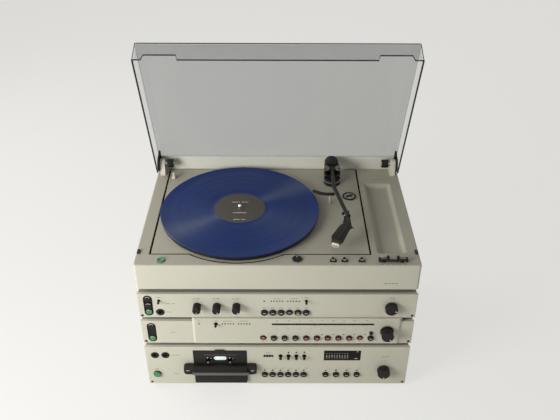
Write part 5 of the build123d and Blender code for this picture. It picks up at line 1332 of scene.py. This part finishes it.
class MUSIC_OT_toggles(Operator):
    """Make the bat toggles and their bushings"""

    bl_idname = "music_centre.toggles"
    bl_label = "Toggles"

    def execute(self, context):
        for name, xs, z, face, body, bushing, tip in (
            ("amp_bats", AMP_TOGGLES, AMP + 40.5, FRONT, "amp_toggles", 2.9, 2.1),
            ("tuner_bat", [TUNER_TOGGLE], TUNER_ROW, PANEL_FRONT, "tuner_toggle", 3.7, 2.2),
            ("tape_bats", TAPE_TOGGLES, TAPE + 77, FRONT, "tape_toggles", 4.1, 2.8),
        ):
            bat_toggles(name, [(x, z) for x in xs], face, body, (body,), bushing, tip)
        return {"FINISHED"}


class MUSIC_OT_lamps(Operator):
    """Dome every indicator lamp"""

    bl_idname = "music_centre.lamps"
    bl_label = "Lamps"

    def execute(self, context):
        lens = {RED_LAMP: Shape(), GREEN_LAMP: Shape(), DARK_LAMP: Shape()}

        def lamp_row(places, face, finish, radius=1.45):
            for x, z in places:
                lens[finish].turned([(radius - 0.05, -2), (radius, 0.1), (radius - 0.05, 0.4),
                                     (radius * 0.7, 0.75), (radius * 0.37, 0.92), (0, 0.97)], finish,
                                    facing(x, face, z), 16)

        def five(start, z):
            return [(start + LAMP_PITCH * n, z) for n in range(5)]

        lamp_row([(-23.8, AMP_LAMPS), *five(-11.2, AMP_LAMPS), *five(18.4, AMP_LAMPS)], FRONT, GREEN_LAMP)
        lamp_row([(-142.7, TUNER_ROW)], PANEL_FRONT, GREEN_LAMP)
        lamp_row(five(-100.6, TUNER_ROW), PANEL_FRONT, RED_LAMP)
        lamp_row(five(-71, TUNER_ROW), PANEL_FRONT, GREEN_LAMP)
        lamp_row([(x, TAPE + 38) for x in TAPE_KEYS], FRONT, DARK_LAMP, 1.6)
        lamp_row([(x, TAPE + 86.5) for x in TAPE_TOGGLES[1:]], FRONT, DARK_LAMP, 1.6)
        lens[RED_LAMP].done("red_lamps", "stack", "red_lens", ("indicator_lenses",))
        lens[GREEN_LAMP].done("green_lamps", "stack", "green_lens")
        lens[DARK_LAMP].done("dark_lamps", "stack", "dark_glass")
        return {"FINISHED"}


class MUSIC_OT_printing(Operator):
    """Print plain bars, ticks and scale numbers on the front panels"""

    bl_idname = "music_centre.printing"
    bl_label = "Printing"

    def execute(self, context):
        front = [(x, AMP + 23.6, 6, 0) for x in SOURCE_KEYS]
        front += [(-1, AMP + 45.5, 14, 0), (28.5, AMP + 45.5, 14, 0), (AMP_TOGGLES[1], AMP + 48.5, 7, 0),
                  (AMP_TOGGLES[0], AMP + 48.5, 6, 0)]
        front += [(-195, AMP + 13.3, 9, 0), (-196, AMP + 33.5, 7, 0), (-186, AMP + 33.5, 5, 0)]
        front += [(x + 4.5, TAPE + 43.5, 4, 0) for x in TAPE_KEYS]
        front += [(x, TAPE + 66.5, 6, 0) for x in TAPE_TOGGLES]
        front += [(-193, TAPE + 78.7, 14, 0), (-17, TAPE + 85.5, 9, 0), (-231.8, TAPE + 42, 6, 0),
                  (-195, TAPE + 28.5, 10, 0)]
        front_bars("front_marks", front, FRONT)
        panel = [(x, TUNER + 9.2, 4, 0) for x in STATION_KEYS]
        row = ((-142.7, 5), (TUNER_TOGGLE, 6), (-90.5, 16), (-61, 16))
        panel += [(x, TUNER + 59.5, long, 0) for x, long in row]
        front_bars("panel_marks", panel, PANEL_FRONT)
        front_bars("plinth_marks", [(190 + 6.5 * n, DECK - 40.5, 4.4, 0) for n in range(4)],
                   PLINTH_FRONT, 1.6)
        front_bars("tuner_mark", [(-193, TUNER_PILL, 8, 0)], FRONT)
        self.scale()
        self.small_holes()
        return {"FINISHED"}

    def scale(self):
        """The tuning scale: a dark slot, ticks under it, numbers over it and its pointer."""
        ticks = [(-0.8 + 5.85 * n, TUNER + 47.5, 1.2 if n % 3 else 2.2, math.pi / 2) for n in range(29)]
        ticks += [(-0.8 + 20.5 * n, TUNER + 39.5, 5, 0) for n in range(9)]
        front_bars("scale_ticks", ticks, PANEL_FRONT, 0.5)
        slot, at = Shape(), facing(DIAL_X, PANEL_FRONT, DIAL_Z)
        slot.block(rounded(186.4, 2.9, 1.4), -2.95, -0.5, 0.1, BLACK, at)
        edge = [(186.2, 2.7, -0.6), (186.2, 2.7, 0.06), (187.6, 4.1, 0.06), (187.6, 4.1, -0.02)]
        slot.skin([rounded(wide, tall, tall * 0.48, height) for wide, tall, height in edge], BLACK,
                  at, ends=False)
        slot.done("scale_slot", "stack", "black_plastic")
        numbers = (87, 89, 91, 94, 97, 100, 102, 105, 108)
        places = (-0.8, 20.4, 41, 62.2, 82.2, 101.6, 120.9, 140, 162.7)
        for n, (value, x) in enumerate(zip(numbers, places)):
            figures(f"scale_number_{n}", str(value), 3.6, INK, facing(x, PANEL_FRONT - 0.02, TUNER + 60.4),
                    "stack")
        pointer = Shape()
        at = facing(67.8, PANEL_FRONT, DIAL_Z)
        pointer.block(rounded(0.9, 2.3, 0.3), -5, 0.5, 0.1, RED_POINTER, at)
        pointer.block(rounded(1.2, 5, 0.5), 0.3, 0.75, 0.15, RED_POINTER, at)
        pointer.done("pointer_bar", "dial_pointer", "red_plastic", ("dial_pointer",))

    def small_holes(self):
        """Screwdriver holes over the station keys, as flat dark discs: painted shade for the inside of each
        hole.
        """
        shape = Shape()
        for x in (82.5, 102.6, 122.3, 142.3, 162):
            shape.turned([(0, -0.01), (1.3, 0.02), (1.1, 0.06), (0, 0.06)], BLACK,
                         facing(x, PANEL_FRONT, TUNER + 26), 16)
        shape.done("trimmer_holes", "stack", "black_plastic")


class MUSIC_OT_windows(Operator):
    """Fit the level display with its dashes and the tape counter with its four blocks"""

    bl_idname = "music_centre.windows"
    bl_label = "Windows"

    def execute(self, context):
        glass = Shape()
        wide, tall = 70.2, 26.9
        at = facing(123.5, FRONT, TAPE + 77.85)
        glass.block(rounded(wide - 0.1, tall - 0.1, 1.2), -3.3, -0.75, 0.2, DARK_GLASS, at)
        counter = facing(-17, FRONT, TAPE + 76.7)
        glass.block(rounded(18.9, 6.5, 0.6), -3.3, -0.9, 0.1, FRONT_PAINT, counter)
        glass.done("display_glass", "stack", "dark_glass", ("display_windows",))
        lit = Shape()

        def lit_bar(across, up, long, high, corner, finish):
            spot = at @ Matrix.Translation((across, up, 0))
            lit.block(rounded(long, high, corner, steps=2), -0.8, -0.69, 0.03, finish, spot, steps=1)

        for column in range(9):
            for line in range(5):
                across, up = -29.6 + 4.95 * column, -7.6 + 2.6 * line + (2.4 if line == 4 else 0)
                lit_bar(across, up, 2.2, 0.8, 0.25, MARK_AND_GLINT if line in (0, 4) else PALE_INK_AND_GLINT)
        for across, up, long in ((28.5, 9.6, 3.4), (26.5, -8.6, 5.4)):
            lit_bar(across, up, long, 1.3, 0.4, PALE_INK_AND_GLINT)
        lit.done("display_marks", "stack", "white_plastic")
        drums = Shape()
        for across, wide in ((-7.4, 3.4), (-2.4, 4.2), (2.7, 4.2), (7.2, 3.2)):
            drums.block(rounded(wide, 5.4, 0.9), -2.5, 0.15, 0.5, BLACK,
                        counter @ Matrix.Translation((across, 0, 0)))
        drums.done("counter_drums", "stack", "black_plastic")
        return {"FINISHED"}


# ---------------------------------------------------------------- cassette door and hubs
class MUSIC_OT_cassette_door(Operator):
    """Press the cassette door, give its window painted light, paint highlights on its cross bar, lugs, tab
    and hub windows, and make the toothed hubs
    """

    bl_idname = "music_centre.cassette_door"
    bl_label = "Cassette door"

    def execute(self, context):
        door = "cassette_door"
        dress(door, CHARCOAL, 0.8)
        mid_x, hub_z, face, cross = -108.85, TAPE + 67, FRONT - 1, FRONT - 14
        pane = rounded(24.4, 10.4, 5.2, steps=8)
        # Painted light: a pale pane that gives off light, for the bright view through the cassette.
        window = Shape().block(pane, -3.4, -1.2, 0.4, GLOWING_WINDOW, facing(mid_x, face, TAPE + 70.5))
        window.done("door_window", door, "white_plastic")
        trim_and_glints = Shape()
        # Painted highlight: a grey bar where light catches the cross bar's lower front edge.
        trim_and_glints.block(rounded(107.6, 7.0, 1.2), -2.5, 0.35, 0.35, GREY_TRIM_AND_HIGHLIGHT, facing(-107.6, cross, TAPE + 42))
        trim_and_glints.block(rounded(60, 0.9, 0.3), -0.3, 0.3, 0.2, GREY_TRIM_AND_HIGHLIGHT, facing(mid_x, face, TAPE + 80.5))
        # Painted highlights: pale dashes where light catches the two lugs.
        for x in (-171, -47.5):
            trim_and_glints.block(rounded(6.4, 1.3, 0.5), -0.5, 0.2, 0.2, PALE_INK_AND_GLINT, facing(x, FRONT - 9.3, TAPE + 46))
        # Painted highlight: a grey line along the top of the tab.
        trim_and_glints.block(rounded(17.6, 0.9, 0.4), -0.5, 0.2, 0.15, GREY_TRIM_AND_HIGHLIGHT, facing(mid_x, face, TAPE + 88.4))
        trim_and_glints.done("door_trim", door, "charcoal_plastic")
        dark = Shape()
        cross_side = [(face - 0.1, 58.7), (face - 9.1, 58.7), (face - 13.2, 50.6), (face - 13.2, 45.6),
                      (face - 0.1, 45.6)]
        dark.skin([[(x, y, TAPE + z) for y, z in cross_side] for x in (-159.3, -58.4)], BLACK)
        dark.block(rounded(100.4, 25, 1.5), -0.3, 5.5, 1.2, CHARCOAL, facing(mid_x, face, TAPE + 22.5))
        dark.done("door_shadow_line", door, "black_plastic")
        rims_and_glints = Shape()
        for x in HUBS:
            at = facing(x, face, hub_z)
            rims_and_glints.washer([(6.4, -3.5), (6.4, 0.3), (6.8, 0.6), (7.4, 0.6), (7.9, 0.1), (7.9, -0.4),
                         (6.6, -3.5)], CHARCOAL, at, 36)
            # Painted reflections: small pale dashes where light catches each hub window's rim, above and
            # below.
            for across, up, long in ((-2.2, 6.6, 1.8), (-2.0, -6.6, 2.6)):
                rims_and_glints.block(rounded(1.8, long, 0.5, x=across, y=up), 0.2, 0.75, 0.15, PALE_INK_AND_GLINT, at)
        rims_and_glints.done("hub_rims", door, "charcoal_plastic")
        for name, x in zip(("supply_hub", "takeup_hub"), HUBS):
            hub = Shape()
            at = facing(x, FRONT + 4, hub_z)
            hub.turned([(2, -22), (3.2, -21.6), (3.2, -0.8), (2.6, -0.1), (1.2, 0), (0, -0.3)], BLACK, at, 28)
            for n in range(3):
                tooth = at @ Matrix.Rotation(math.tau * (n / 3 + 0.25), 4, "Z")
                hub.block(rounded(1.9, 1.8, 0.4, x=3.7), -12, 0.2, 0.4, PALE_INK_AND_GLINT, tooth)
            hub.done(name + "_teeth", name, "white_plastic", (name,))
        return {"FINISHED"}


# ---------------------------------------------------------------- rear, screws and feet
class MUSIC_OT_fixings(Operator):
    """Make the rear sockets, mains inlets, fascia screws, feet and cover pads"""

    bl_idname = "music_centre.fixings"
    bl_label = "Fixings"

    def execute(self, context):
        inlets = [(190, PLINTH_REAR, DECK - 27)] + [(190, AMP_REAR, z) for z in UNIT_MIDDLES]
        columns = (-150, -120, -60, -30)
        phonos = [(n, backward(x, AMP_REAR, z)) for n, x in enumerate(columns) for z in UNIT_MIDDLES]
        front = Shape()
        for x, z in ((-211.4, AMP + 13.3), (-232.2, TAPE + 78.7), (-212.4, TAPE + 78.7)):
            front.washer([(3.25, -15.9), (3.25, 0.7), (3.7, 1.15), (4.7, 1.2), (5.2, 0.9), (6.6, 0.9),
                          (7.5, 0.75), (7.8, 0.3), (7.8, 0.02), (5.5, -0.02), (5.5, -16), (3.3, -16)], BLACK,
                         facing(x, FRONT, z), 40)
        for _, at in phonos:
            front.washer([(1.6, -4), (4.0, -4), (8, -3.4), (8, 0), (7.2, 1.4), (4.3, 1.4), (4.3, 0.4),
                          (1.6, 0.4)], BLACK, at, 36)
        for place in inlets:
            at = backward(*place) @ Matrix.Rotation(math.pi, 4, "Z")
            rings = [rounded(21.5 - 2 * i, 13.5 - 2 * i, 2 + (0 if i else 0.6), h) for i, h in
                     ((0.4, -1.6), (0, -0.8), (0, 0.9), (0.4, 1), (1.9, 1), (2, 0.8), (2, -9.5), (2.3, -9.6))]
            front.skin(rings, BLACK, at)
        front.done("socket_bodies", "stack", "black_plastic", ("sockets",))
        metal, inserts = Shape(), {RED_KEY: Shape(), CREAM: Shape()}
        for n, at in phonos:
            metal.washer([(3.5, 1), (4.0, 1), (4.2, 1.2), (4.2, 15.9), (4.0, 16.4), (3.6, 16.4), (3.5, 16)],
                         CHROME, at, 32)
            channel = RED_KEY if n % 2 else CREAM
            inserts[channel].washer([(1.6, 1), (3.5, 1), (3.5, 15.6), (3.2, 15.9), (1.8, 15.9), (1.6, 15.6)],
                                    channel, at, 28)
        for x, y, z in inlets:
            for side in (-4, 4):
                metal.turned([(1.1, -9.6), (1.1, -1.8), (0.6, -1.1), (0, -1)], CHROME,
                             backward(x + side, y, z), 14)
        metal.done("socket_metal", "stack", "chrome_trim")
        inserts[RED_KEY].done("right_channel_inserts", "stack", "red_plastic")
        inserts[CREAM].done("left_channel_inserts", "stack", "white_plastic")
        screws = Shape()
        for side in (-1, 1):
            for z in (AMP, TUNER, TAPE):
                at = facing(side * 244.5, FRONT, z + 5) @ Matrix.Rotation(0.7 + side, 4, "Z")
                screws.turned([(1.5, -14), (1.5, -1), (2.35, -0.95), (2.4, -0.3), (2.1, -0.08), (0.9, 0.05),
                               (0.8, -0.5), (0, -0.6)], BLACK_GLOSS, at, 20)
        screws.done("screw_heads", "stack", "dark_metal", ("fascia_screws",))
        self.feet()
        return {"FINISHED"}

    def feet(self):
        """Rubber feet under every unit, with a dished sole, and the small pads under the cover's rim."""
        shape = Shape()
        levels = (
            (0, 7.9, 13),
            (TAPE + TAPE_HEIGHT, TUNER - TAPE - TAPE_HEIGHT, 9),
            (TUNER + CASE_HEIGHT, AMP - TUNER - CASE_HEIGHT, 9),
            (AMP + CASE_HEIGHT, DECK - PLINTH_HEIGHT - AMP - CASE_HEIGHT, 9),
        )
        for bottom, height, radius in levels:
            for x in (-205, 205):
                for y in (FRONT + 38, AMP_REAR - 32):
                    profile = [(radius * 0.45, 0.4), (radius * 0.6, 0.05), (radius * 0.84, 0),
                               (radius * 0.9, 0.5), (radius * 0.9, height * 0.3), (radius, height * 0.45),
                               (radius, height), (radius * 0.5, height)]
                    shape.turned(profile, RUBBER, upright(x, y, bottom), 40)
        for x in (-245.5, 245.5):
            shape.block(rounded(5, 11, 1.2), 0, 2.6, 0.6, RUBBER, upright(x, PLINTH_FRONT + 37, DECK))
        shape.done("rubber_feet", "stack", "black_rubber", ("feet_and_pads",))


# ---------------------------------------------------------------- panel and registration
OPERATORS = (MUSIC_OT_stage, MUSIC_OT_paintwork, MUSIC_OT_tray, MUSIC_OT_platter, MUSIC_OT_record,
             MUSIC_OT_arm_bearing, MUSIC_OT_tonearm, MUSIC_OT_arm_lift, MUSIC_OT_deck_controls,
             MUSIC_OT_cover, MUSIC_OT_front_keys, MUSIC_OT_knobs, MUSIC_OT_toggles, MUSIC_OT_lamps,
             MUSIC_OT_printing, MUSIC_OT_windows, MUSIC_OT_cassette_door, MUSIC_OT_fixings)
PROPERTIES = (MusicCentreColours, MusicCentreSizes, MusicCentreStage, MusicCentre)


class MUSIC_PT_panel(Panel):
    """Everything that the music centre is made of"""

    bl_idname = "MUSIC_PT_panel"
    bl_label = "Music Centre"
    bl_space_type = "VIEW_3D"
    bl_region_type = "UI"
    bl_category = "Music Centre"

    def draw(self, context):
        column = self.layout.column(align=True)
        for operator in OPERATORS:
            column.operator(operator.bl_idname)
        for group in ("colours", "sizes", "stage"):
            settings = getattr(context.scene.music_centre, group)
            box = self.layout.box()
            for name in settings.bl_rna.properties.keys():
                if name not in ("rna_type", "name"):
                    box.prop(settings, name)


def register():
    for kind in (*PROPERTIES, *OPERATORS, MUSIC_PT_panel):
        bpy.utils.register_class(kind)
    bpy.types.Scene.music_centre = PointerProperty(type=MusicCentre)


def unregister():
    del bpy.types.Scene.music_centre
    for kind in reversed((*PROPERTIES, *OPERATORS, MUSIC_PT_panel)):
        bpy.utils.unregister_class(kind)


def main():
    """Register, and run every operator in order."""
    register()
    for operator in OPERATORS:
        group, call = operator.bl_idname.split(".")
        getattr(getattr(bpy.ops, group), call)()


if __name__ == "__main__":
    main()
